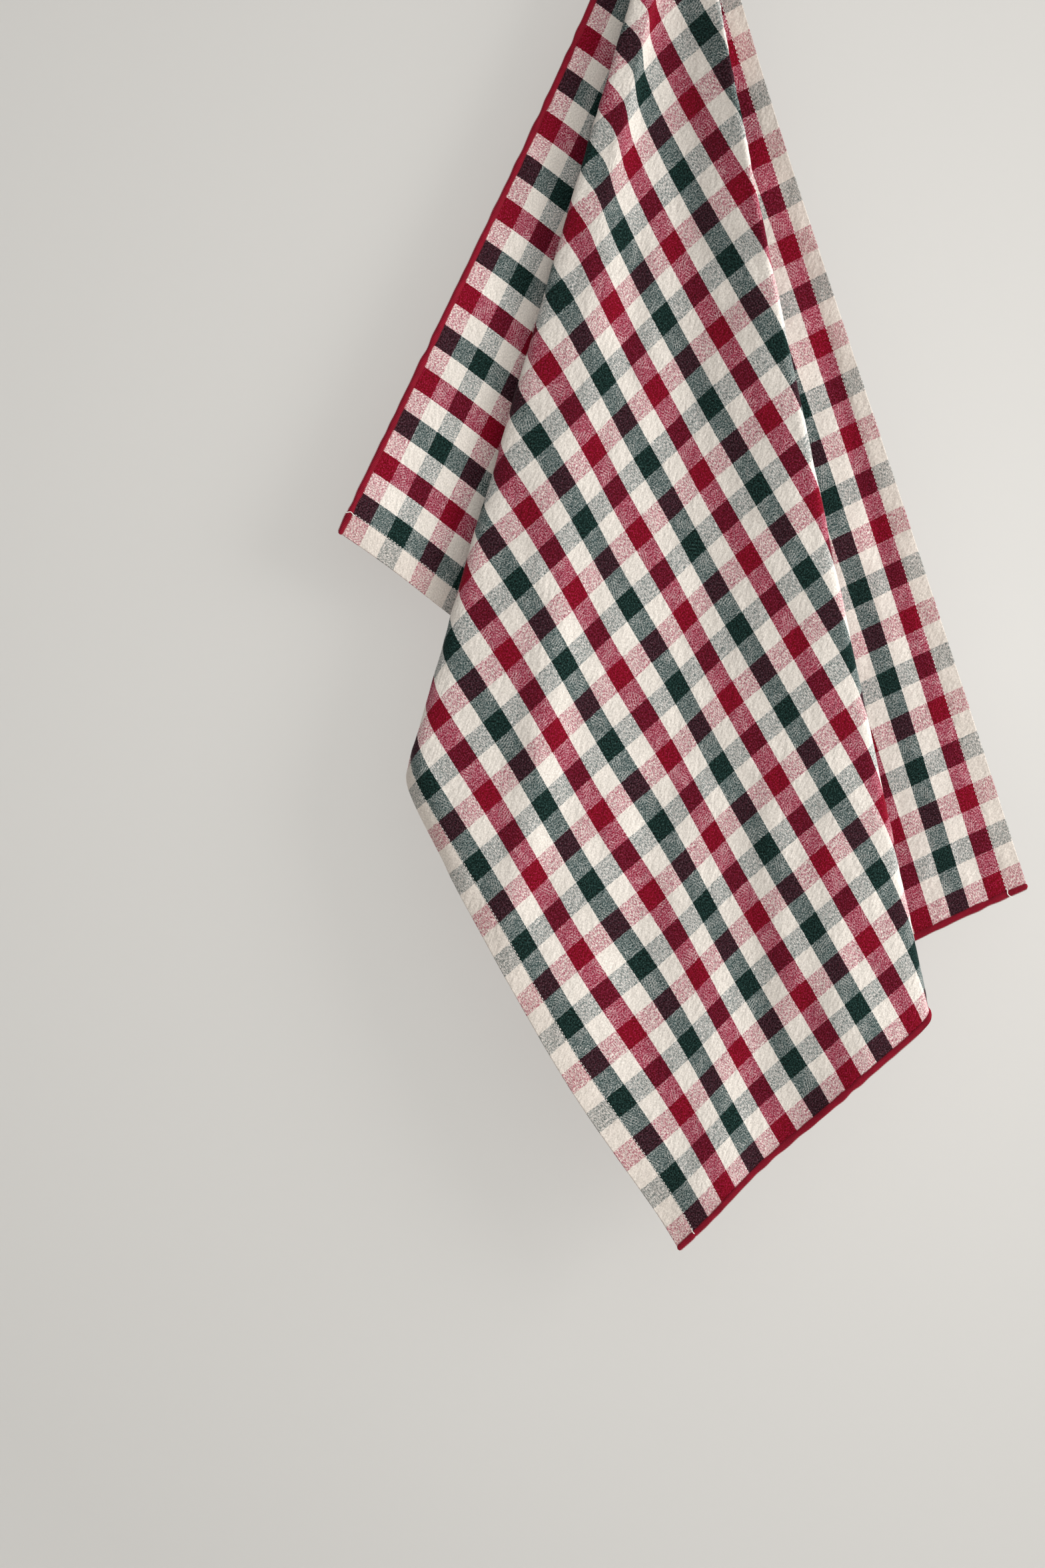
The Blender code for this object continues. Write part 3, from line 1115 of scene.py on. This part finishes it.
    def plain_weave(self, kit: NodeKit, flat: object) -> NodeSocket:
        """Height of the yarns over and under each other, from -1 to 1, at flat places."""
        phases = [kit.maths("MULTIPLY", part, math.pi / self.yarn) for part in kit.parts(flat)[:2]]
        return kit.maths("MULTIPLY", *(kit.maths("SINE", phase) for phase in phases))


@dataclass(frozen=True)
class Thread:
    """The finish of a sewing thread."""

    name: str
    dye: Triple
    worn: Triple
    unevenness: float
    wear: float
    roughness: float = 0.9
    sheen: float = 0.08
    crinkle: float = 0.00002
    fuzz: float = 0.00014

    def material(self, dye: NodeTree, crinkle: NodeTree) -> Material:
        """Makes the thread's material.

        Args:
            dye: the shared dye group.
            crinkle: the shared crinkle group.

        Returns:
            The thread material.
        """
        material, kit, shader = new_material(self.name)
        place = kit.add("ShaderNodeTexCoord").outputs["Object"]
        colour = kit.add("ShaderNodeGroup", node_tree=dye)
        kit.feed(colour, Place=place, Dye=self.dye, Worn=self.worn)
        kit.feed(colour, Unevenness=self.unevenness, Wear=self.wear)
        height = kit.add("ShaderNodeGroup", node_tree=crinkle)
        kit.feed(height, Place=place, Crinkle=self.crinkle, Fuzz=self.fuzz)
        kit.feed(shader, Base_Color=colour.outputs["Color"], Roughness=self.roughness)
        kit.feed(shader, Sheen_Weight=self.sheen)
        fibrous(kit, shader, height.outputs["Height"])
        return material


CRIMSON_THREAD = Thread(
    "crimson_thread", dye=(0.275, 0.007, 0.024), worn=(0.52, 0.12, 0.15), unevenness=0.16, wear=0.12
)
WHITE_THREAD = Thread(
    "white_thread", dye=(0.80, 0.775, 0.73), worn=(0.9, 0.89, 0.86), unevenness=0.08, wear=0.2
)


# ---------------------------------------------------------------- the pieces


def new_object(name: str, points: list, faces: list, material: Material) -> Object:
    """Adds a mesh object to the scene.

    Args:
        name: its name.
        points: its vertices.
        faces: its faces as rows of vertex numbers.
        material: its finish.

    Returns:
        The object.
    """
    mesh = bpy.data.meshes.new(name)
    mesh.from_pydata(points, [], faces)
    mesh.materials.append(material)
    made = bpy.data.objects.new(name, mesh)
    bpy.context.scene.collection.objects.link(made)
    return made


def new_piece(name: str, points: Array, faces: list, material: Material) -> Object:
    """Adds a smooth piece that rides on the towel's one body.

    Args:
        name: the piece's name.
        points: its vertices.
        faces: its faces as rows of vertex numbers.
        material: its finish.

    Returns:
        The piece.
    """
    piece = new_object(name, points.tolist(), faces, material)
    piece.data.shade_smooth()
    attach(piece, "root")
    return piece


def tube_faces(stations: int, sides: int, start: int = 0) -> list:
    """Faces of a closed tube, as quads with a flat cap at each end.

    Args:
        stations: number of rings.
        sides: points in a ring.
        start: number of the tube's first vertex.

    Returns:
        Rows of vertex numbers.
    """
    faces = []
    for station in range(stations - 1):
        for side in range(sides):
            here = start + station * sides + side
            beside = start + station * sides + (side + 1) % sides
            faces.append((here, beside, beside + sides, here + sides))
    faces.append(tuple(start + side for side in reversed(range(sides))))
    last = start + (stations - 1) * sides
    faces.append(tuple(last + side for side in range(sides)))
    return faces


@dataclass
class TowelCloth:
    """The gingham sheet with its two long hems."""

    shape: HungShape
    relief: Relief
    hem: float = 0.0151
    thickness: float = 0.0009
    hem_extra: float = 0.0006  # the turned layer, on the back
    edge_line: float = 0.0008
    seam_line: float = 0.0007
    hem_columns: int = 5
    columns: int = 166
    rows: int = 246
    map_gap: float = 0.005  # margin of the bake map
    map_width: float = 0.485
    map_height: float = 0.97
    map_rim: tuple[float, float] = (0.982, 0.995)

    def across_lines(self) -> Array:
        """Places of the grid's columns, closer together at the edges and the seams.

        Returns:
            Distances from the hung long edge, rising.
        """
        left = np.linspace(self.edge_line, self.hem - self.seam_line, self.hem_columns + 1)
        left = np.concatenate([[0.0], left, [self.hem]])
        inner = self.hem + self.seam_line
        middle = np.linspace(inner, SHORT_SIDE - inner, self.columns)
        return np.concatenate([left, middle, SHORT_SIDE - left[::-1]])

    def along_lines(self) -> Array:
        """Places of the grid's rows."""
        inner = np.linspace(self.edge_line, LONG_SIDE - self.edge_line, self.rows)
        return np.concatenate([[0.0], inner, [LONG_SIDE]])

    def surface(self, across: Array, along: Array, side: Side) -> Array:
        """Points of one side of the cloth at flat places.

        Args:
            across: distances from the hung long edge.
            along: distances from the hung short edge.
            side: the face or the back.

        Returns:
            Points on the cloth's surface.
        """
        half = self.thickness / 2 - self.relief.stitched_in(across)
        if side is Side.BACK:
            inside = np.minimum(across, SHORT_SIDE - across) <= self.hem
            half = half + self.hem_extra * inside
        away = self.relief.lift(across, along) + half * side.value
        return self.relief.hung(across, along) + self.shape.normals(across, along) * away[..., None]

    def build(self, material: Material) -> Object:
        """Builds the sheet.

        Args:
            material: the gingham.

        Returns:
            The cloth piece.
        """
        columns, rows = self.across_lines(), self.along_lines()
        along, across = np.meshgrid(rows, columns, indexing="ij")
        face = self.surface(across, along, Side.FACE).reshape(-1, 3)
        back = self.surface(across, along, Side.BACK).reshape(-1, 3)
        count = across.size
        index = np.arange(count).reshape(across.shape)
        quads = np.stack([index[:-1, :-1], index[1:, :-1], index[1:, 1:], index[:-1, 1:]], axis=-1)
        quads = quads.reshape(-1, 4)
        back_quads = quads[:, ::-1] + count
        around = np.concatenate([index[0, :], index[1:, -1], index[-1, -2::-1], index[-2:0:-1, 0]])
        after = np.roll(around, -1)
        rim = np.stack([around, after, after + count, around + count], axis=-1)
        faces = np.concatenate([quads, back_quads, rim])
        piece = new_piece("gingham_cloth", np.concatenate([face, back]), faces.tolist(), material)
        self.map_flat(piece, across.ravel(), along.ravel(), faces)
        self.map_for_bake(piece, across.ravel(), along.ravel(), faces, len(rim))
        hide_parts("towel_cloth")
        return piece

    def map_flat(self, piece: Object, across: Array, along: Array, faces: Array) -> None:
        """Writes the map of flat places. On the back, the hem shows its turned stripe.

        Args:
            piece: the cloth.
            across: the grid's places across, once.
            along: the grid's places along, once.
            faces: rows of vertex numbers.
        """
        turned = np.where(across < self.hem, -across, across)
        turned = np.where(across > SHORT_SIDE - self.hem, 2 * SHORT_SIDE - across, turned)
        sideways, down = np.concatenate([across, turned]), np.concatenate([along, along])
        places = np.stack([sideways, down], axis=-1)
        layer = piece.data.uv_layers.new(name=FLAT_MAP)
        layer.uv.foreach_set("vector", places[faces.ravel()].astype(np.float32).ravel())

    def map_for_bake(
        self, piece: Object, across: Array, along: Array, faces: Array, rim: int
    ) -> None:
        """Writes a map with the face and back side by side and the rim in a strip above.

        Args:
            piece: the cloth.
            across: the grid's places across, once.
            along: the grid's places along, once.
            faces: rows of vertex numbers.
            rim: how many of the last faces are the rim.
        """
        left = self.map_gap + self.map_width * across / SHORT_SIDE
        up = self.map_gap + self.map_height * along / LONG_SIDE
        right = left + 0.5 + self.map_gap
        places = np.stack([np.concatenate([left, right]), np.concatenate([up, up])], axis=-1)
        corners = places[faces]
        step = (1 - 2 * self.map_gap) / rim
        start = self.map_gap + step * np.arange(rim)
        end = start + step
        low, high = (np.full(rim, level) for level in self.map_rim)
        strip = [(start, low), (end, low), (end, high), (start, high)]
        corners[-rim:] = np.stack([np.stack(corner, axis=-1) for corner in strip], axis=1)
        layer = piece.data.uv_layers.new(name=BAKE_MAP)
        layer.uv.foreach_set("vector", corners.astype(np.float32).ravel())


@dataclass
class Overlock:
    """The crimson overlocked edging along one short side."""

    cloth: TowelCloth
    name: str
    node: str
    at_edge: float  # the short side's place along the cloth
    outward: float  # +1 or -1, the way that along grows off the cloth
    half_width: float = 0.00252
    half_thickness: float = 0.00142
    centre: float = 0.00150  # of the tube, out from the cloth's edge
    rib: float = 0.00092
    rib_height: float = 0.42
    rib_middle: float = 0.6  # where the ribs neither swell nor thin the tube
    slant: float = 0.35
    hem_step: float = 0.001
    hem_swell: float = 0.22  # the edging is thicker over the hems
    nick: float = 0.13  # the seams' threads draw it in
    nick_width: float = 0.0010
    sides: int = 10
    stations_a_rib: int = 4
    over_end: float = 0.0007
    end_round: float = 0.0024
    end_least: float = 0.012
    sway: float = 0.00045
    seed: int = 71

    def in_hem(self, across: Array) -> Array:
        """Share of the hem's full thickness under each station."""
        from_edge = np.minimum(across, SHORT_SIDE - across)
        return ramp(-from_edge, -self.cloth.hem, self.hem_step)

    def profile(self, across: Array) -> tuple[Array, Array]:
        """Width and thickness factors along the edging.

        Args:
            across: places of its stations.

        Returns:
            Factors for the width and the thickness.
        """
        from_end = np.minimum(across + self.over_end, SHORT_SIDE + self.over_end - across)
        share = np.clip(from_end / self.end_round, 0, 1)
        rounded = np.sqrt(np.clip(1 - (1 - share) ** 2, self.end_least, 1))
        nick = 1 - self.nick * bell(self.cloth.relief.from_seam(across), self.nick_width)
        return rounded * nick, rounded * nick * (1 + self.hem_swell * self.in_hem(across))

    def rings(self, across: Array) -> tuple[Array, Array]:
        """The ribbed rings around the edging's stations.

        Args:
            across: places of its stations.

        Returns:
            How far each point lies off the cloth's edge, and how far above its middle.
        """
        wide, thick = self.profile(across)
        swaying = Wrinkles(self.sway, length=0.021, run=0.0, spread=8.0, patch=0.06, seed=self.seed)
        wander = swaying.lift(across, np.zeros(len(across)))
        turns = np.arange(self.sides)[None, :] * 2 * math.pi / self.sides
        phase = math.pi * across[:, None] / self.rib + self.slant * np.sin(turns)
        ribs = 1 + self.rib_height * (np.abs(np.sin(phase)) - self.rib_middle)
        width = wander[:, None] + self.half_width * wide[:, None] * ribs
        out = self.centre + width * np.cos(turns)
        up = self.half_thickness * thick[:, None] * ribs * np.sin(turns)
        return out, up - self.in_hem(across)[:, None] * self.cloth.hem_extra / 2

    def build(self, material: Material) -> Object:
        """Builds the edging as one ribbed tube.

        Args:
            material: the crimson thread.

        Returns:
            The edging piece.
        """
        stations = int((SHORT_SIDE + 2 * self.over_end) / self.rib * self.stations_a_rib)
        across = np.linspace(-self.over_end, SHORT_SIDE + self.over_end, stations)
        out, up = self.rings(across)
        ring_across = np.repeat(across[:, None], self.sides, axis=1)
        ring_along = self.at_edge + self.outward * out
        lift = self.cloth.relief.lift(ring_across, np.full_like(ring_across, self.at_edge))
        normal = self.cloth.shape.normals(ring_across, ring_along)
        points = self.cloth.relief.hung(ring_across, ring_along) + normal * (lift + up)[..., None]
        faces = tube_faces(stations, self.sides)
        if self.outward > 0:
            faces = [tuple(reversed(face)) for face in faces]
        piece = new_piece(self.name, points.reshape(-1, 3), faces, material)
        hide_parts(self.node)
        return piece


class StitchPoint(NamedTuple):
    """One ring of a stitch."""

    share: float  # of the stitch's shown length
    swell: float  # of its radius
    rise: float  # of its sink, above the cloth


@dataclass
class HemStitches:
    """The two rows of white lockstitch along the hems, seen on both sides."""

    cloth: TowelCloth
    pitch: float = 0.0027
    shown: float = 0.0017
    inside: float = 0.0005  # how far inside the turned edge they run
    radius: float = 0.00023
    sink: float = 0.00010
    wobble: float = 0.00009
    sides: int = 6
    seed: int = 5
    rings: tuple[StitchPoint, ...] = (
        StitchPoint(0.0, 0.35, -1.0),
        StitchPoint(0.16, 0.9, 0.35),
        StitchPoint(0.5, 1.0, 0.8),
        StitchPoint(0.84, 0.9, 0.35),
        StitchPoint(1.0, 0.35, -1.0),
    )

    def row(self, seam: float, side: Side, starts: Array, wobble: Array) -> Array:
        """Rings of one row of stitches.

        Args:
            seam: the row's place across.
            side: the face or the back.
            starts: where each stitch starts along the cloth.
            wobble: how far each strays across.

        Returns:
            Points, stitch by stitch and ring by ring.
        """
        share, swell, rise = (column[None, :, None] for column in np.array(self.rings).T)
        turns = np.arange(self.sides)[None, None, :] * 2 * math.pi / self.sides
        across = seam + wobble[:, None, None] + self.radius * swell * np.cos(turns)
        along = np.broadcast_to(starts[:, None, None] + self.shown * share, across.shape)
        lift = self.sink * rise + self.radius * swell * np.sin(turns)
        on_seam = np.full_like(across, seam)
        shape = self.cloth.shape
        moved = shape.points(across, along) - shape.points(on_seam, along)
        away = shape.normals(across, along) * side.value * lift[..., None]
        return self.cloth.surface(on_seam, along, side) + moved + away

    def build(self, material: Material) -> Object:
        """Builds all the stitches as one piece.

        Args:
            material: the white thread.

        Returns:
            The stitches.
        """
        dice = np.random.default_rng(self.seed)
        starts = np.arange(self.pitch, LONG_SIDE - self.pitch, self.pitch)
        near_seam = self.cloth.hem + self.inside
        points, faces, made = [], [], 0
        for seam in (near_seam, SHORT_SIDE - near_seam):
            for side in Side:
                wobble = dice.normal(0, self.wobble, len(starts))
                points.append(self.row(seam, side, starts, wobble).reshape(-1, 3))
                for _ in starts:
                    tube = tube_faces(len(self.rings), self.sides, made)
                    faces += tube if side is Side.BACK else [tuple(reversed(face)) for face in tube]
                    made += len(self.rings) * self.sides
        piece = new_piece("hem_stitches", np.concatenate(points), faces, material)
        return piece


class TailPoint(NamedTuple):
    """A point of a loose thread end, from the end of its seam."""

    sideways: float  # towards the long edge
    onwards: float  # off the short side
    lift: float  # above the cloth's face


@dataclass
class ThreadTails:
    """The seams' loose ends, which cross the edging at each corner."""

    cloth: TowelCloth
    radius: float = 0.00030
    end_taper: float = 0.6
    sides: int = 8
    steps: int = 6
    lower_left: tuple[TailPoint, ...] = (
        TailPoint(0.0, -0.0030, 0.0006),
        TailPoint(0.0, -0.0012, 0.0014),
        TailPoint(-0.0002, 0.0004, 0.0020),
        TailPoint(-0.0005, 0.0016, 0.0017),
    )
    lower_right: tuple[TailPoint, ...] = (
        TailPoint(0.0, -0.0030, 0.0006),
        TailPoint(0.0001, -0.0008, 0.0014),
        TailPoint(-0.0004, 0.0010, 0.0018),
        TailPoint(0.0006, 0.0030, 0.0019),
        TailPoint(0.0022, 0.0052, 0.0012),
    )

    def tube(
        self, seam: float, towards: float, end: float, outward: float, route: tuple[TailPoint, ...]
    ) -> Array:
        """Rings of one loose end.

        Args:
            seam: the seam's place across.
            towards: +1 or -1, the way across that leads to its long edge.
            end: the short side's place along.
            outward: +1 or -1, the way along that leads off the cloth.
            route: its points.

        Returns:
            Points, ring by ring.
        """
        table = np.array(route)
        places = np.linspace(0, len(route) - 1, (len(route) - 1) * self.steps + 1)
        lines = [SmoothLine(list(range(len(route))), list(table[:, column])) for column in range(3)]
        side, on, lift = (line(places) for line in lines)
        across, along = seam + towards * side, end + outward * on
        shape = self.cloth.shape
        base = self.cloth.relief.lift(across, np.clip(along, 0, LONG_SIDE))
        hung = self.cloth.relief.hung(across, along)
        middle = hung + shape.normals(across, along) * (base + lift)[:, None]
        ahead = np.gradient(middle, axis=0)
        ahead /= np.linalg.norm(ahead, axis=1, keepdims=True)
        first = np.cross(ahead, shape.normals(across, along))
        first /= np.linalg.norm(first, axis=1, keepdims=True)
        second = np.cross(first, ahead)
        turns = np.arange(self.sides) * 2 * math.pi / self.sides
        taper = np.full(len(places), self.radius)
        taper[[0, -1]] *= self.end_taper
        ring = first[:, None, :] * np.cos(turns)[None, :, None]
        ring = ring + second[:, None, :] * np.sin(turns)[None, :, None]
        return middle[:, None, :] + ring * taper[:, None, None]

    def build(self, material: Material) -> Object:
        """Builds the four loose ends as one piece.

        Args:
            material: the white thread.

        Returns:
            The thread ends.
        """
        near_seam, far_seam = self.cloth.hem, SHORT_SIDE - self.cloth.hem
        ends = (
            (far_seam, 1.0, LONG_SIDE, 1.0, self.lower_left),
            (near_seam, -1.0, LONG_SIDE, 1.0, self.lower_right),
            (far_seam, 1.0, 0.0, -1.0, self.lower_right),
            (near_seam, -1.0, 0.0, -1.0, self.lower_left),
        )
        points, faces, made = [], [], 0
        for end in ends:
            rings = self.tube(*end)
            faces += tube_faces(len(rings), self.sides, made)
            points.append(rings.reshape(-1, 3))
            made += rings.shape[0] * self.sides
        piece = new_piece("thread_ends", np.concatenate(points), faces, material)
        return piece


# ---------------------------------------------------------------- the studio


@dataclass(frozen=True)
class SoftLight:
    """One area light that points at a place."""

    name: str
    place: Triple
    aim: Triple
    size: float
    power: float
    colour: Triple


@dataclass
class Studio:
    """The pale backdrop, which glows with painted light, and floor, the soft light and the camera.
    """

    wall_behind: float = 0.040
    floor_level: float = -1.34
    reach: float = 5.0
    wall_colour: Triple = (0.672, 0.656, 0.624)
    # the backdrop's colour under the lamps, kept dark since its painted glow gives most of its
    # brightness
    wall_shaded: Triple = (0.250, 0.246, 0.236)
    painted_backdrop_glow: float = 0.50  # painted light: the whole backdrop glows by this much, which also lifts its shadows
    painted_pool_glow: float = 0.77  # and it glows more, as a painted pool of light, in the middle of the pool
    # the middle of the painted pool of light on the backdrop, and how far it spreads
    pool: tuple[float, float] = (0.21, -0.52)
    pool_reach: float = 0.8
    sky: Triple = (1.0, 0.99, 0.98)
    sky_from: Triple = (0.927, -0.255, 0.275)  # its brightest side
    sky_low: float = 0.145
    sky_high: float = 1.60
    sky_bend: float = 2.0
    camera_place: Triple = (-0.0983, -2.750, -0.5967)
    lens: float = 99.92
    sensor: float = 36.0
    lights: tuple[SoftLight, ...] = (
        SoftLight("key", (3.4, -1.9, 0.6), (0.0, 0.0, -0.5), 2.4, 84.0, (1.0, 0.99, 0.98)),
        SoftLight("wash", (1.25, -0.9, -0.40), (0.42, 0.0, -0.5), 0.7, 3.6, (1.0, 0.99, 0.98)),
        SoftLight("rear", (-1.4, 2.6, 0.5), (0.0, 0.0, -0.5), 1.8, 40.0, (1.0, 0.99, 0.98)),
    )

    def paint(self, name: str, one_sided: bool) -> Material:
        """A matt pale paint, which on the one-sided backdrop also glows as painted light.

        Args:
            name: the material's name.
            one_sided: whether it is only there for an eye in front of it, so that light reaches the
                cloth's back; such paint also glows as painted light, most strongly in a painted
                pool of light.

        Returns:
            The material.
        """
        material, kit, shader = new_material(name)
        kit.feed(shader, Base_Color=self.wall_colour, Roughness=0.95, Specular_IOR_Level=0.1)
        if one_sided:
            # painted light: the backdrop glows, and glows more in a soft painted pool of light
            # around the pool's middle
            place = kit.add("ShaderNodeTexCoord").outputs["Object"]
            pool = (self.pool[0], self.wall_behind, self.pool[1])
            away = kit.vector_maths("DISTANCE", place, pool).outputs["Value"]
            lift = kit.spread(away, 0.0, self.pool_reach, self.painted_pool_glow, self.painted_backdrop_glow)
            kit.feed(shader, Base_Color=self.wall_shaded, Emission_Color=self.wall_colour)
            kit.feed(shader, Emission_Strength=lift)
            output = material.node_tree.nodes["Material Output"]
            mix = kit.add("ShaderNodeMixShader")
            seen = kit.add("ShaderNodeLightPath").outputs["Is Camera Ray"]
            behind = kit.add("ShaderNodeNewGeometry").outputs["Backfacing"]
            kit.join(mix.inputs[0], kit.maths("MAXIMUM", behind, kit.maths("SUBTRACT", 1.0, seen)))
            kit.join(mix.inputs[1], shader.outputs[0])
            kit.join(mix.inputs[2], kit.add("ShaderNodeBsdfTransparent").outputs[0])
            kit.join(output.inputs["Surface"], mix.outputs[0])
        return material

    def build(self) -> None:
        """Builds the stage, the lights, the sky and the camera."""
        low, far, wall = self.floor_level, self.reach, self.wall_behind
        backdrop = [(-far, wall, low), (far, wall, low), (far, wall, far), (-far, wall, far)]
        floor = [(-far, -far, low), (far, -far, low), (far, far, low), (-far, far, low)]
        stage = (
            ("backdrop", backdrop, self.paint("wall_paint", True)),
            ("floor", floor, self.paint("floor_paint", False)),
        )
        for name, corners, paint in stage:
            sheet = new_object(name, corners, [(0, 1, 2, 3)], paint)
        scene = bpy.context.scene
        for light in self.lights:
            lamp = bpy.data.lights.new(light.name, "AREA")
            lamp.shape = "DISK"
            lamp.size, lamp.energy, lamp.color = light.size, light.power, light.colour
            holder = bpy.data.objects.new(light.name, lamp)
            scene.collection.objects.link(holder)
            holder.location = light.place
            self.aim(holder, light.aim)
        scene.world = self.soft_sky()
        scene.view_settings.view_transform = "Standard"
        camera = bpy.data.objects.new("camera", bpy.data.cameras.new("camera"))
        camera.data.lens = self.lens
        camera.data.sensor_width = self.sensor
        camera.data.dof.use_dof = False
        camera.location = self.camera_place
        camera.rotation_euler = (math.radians(90), 0.0, 0.0)
        scene.collection.objects.link(camera)
        scene.camera = camera

    def soft_sky(self) -> World:
        """A sky like one huge soft light: bright on one side and dim on the other.

        Returns:
            The world.
        """
        world = bpy.data.worlds.new("studio_sky")
        world.use_nodes = True
        kit = NodeKit(world.node_tree)
        place = kit.add("ShaderNodeTexCoord").outputs["Generated"]
        towards = kit.vector_maths("DOT_PRODUCT", place, self.sky_from).outputs["Value"]
        half = kit.maths("MULTIPLY_ADD", towards, 0.5, 0.5)
        bright = kit.maths("POWER", half, self.sky_bend)
        gain = kit.maths("MULTIPLY_ADD", bright, self.sky_high - self.sky_low, self.sky_low)
        kit.feed(world.node_tree.nodes["Background"], Color=self.sky, Strength=gain)
        return world

    def aim(self, holder: Object, place: Triple) -> None:
        """Turns a light so that it points at a place."""
        holder.rotation_mode = "QUATERNION"
        holder.rotation_quaternion = (Vector(place) - holder.location).to_track_quat("-Z", "Y")


def main() -> None:
    logging.basicConfig(level=logging.INFO)
    Studio().build()
    crinkle, dye = crinkle_group(), thread_colour_group()
    gingham = GinghamCotton().material(crinkle)
    crimson_thread = CRIMSON_THREAD.material(dye, crinkle)
    white_thread = WHITE_THREAD.material(dye, crinkle)

    shape = HungShape()
    towel = TowelCloth(shape, Relief(shape, seam=TowelCloth.hem))
    cloth = towel.build(gingham)
    on_it = [
        Overlock(towel, "lower_overlock", "lower_edging", LONG_SIDE, 1.0).build(crimson_thread),
        Overlock(towel, "upper_overlock", "upper_edging", 0.0, -1.0, seed=83).build(crimson_thread),
        HemStitches(towel).build(white_thread),
        ThreadTails(towel).build(white_thread),
    ]
    for piece in [cloth, *on_it]:
        mesh = piece.data
        log.info("%s: %d vertices, %d faces", piece.name, len(mesh.vertices), len(mesh.polygons))


if __name__ == "__main__":
    main()
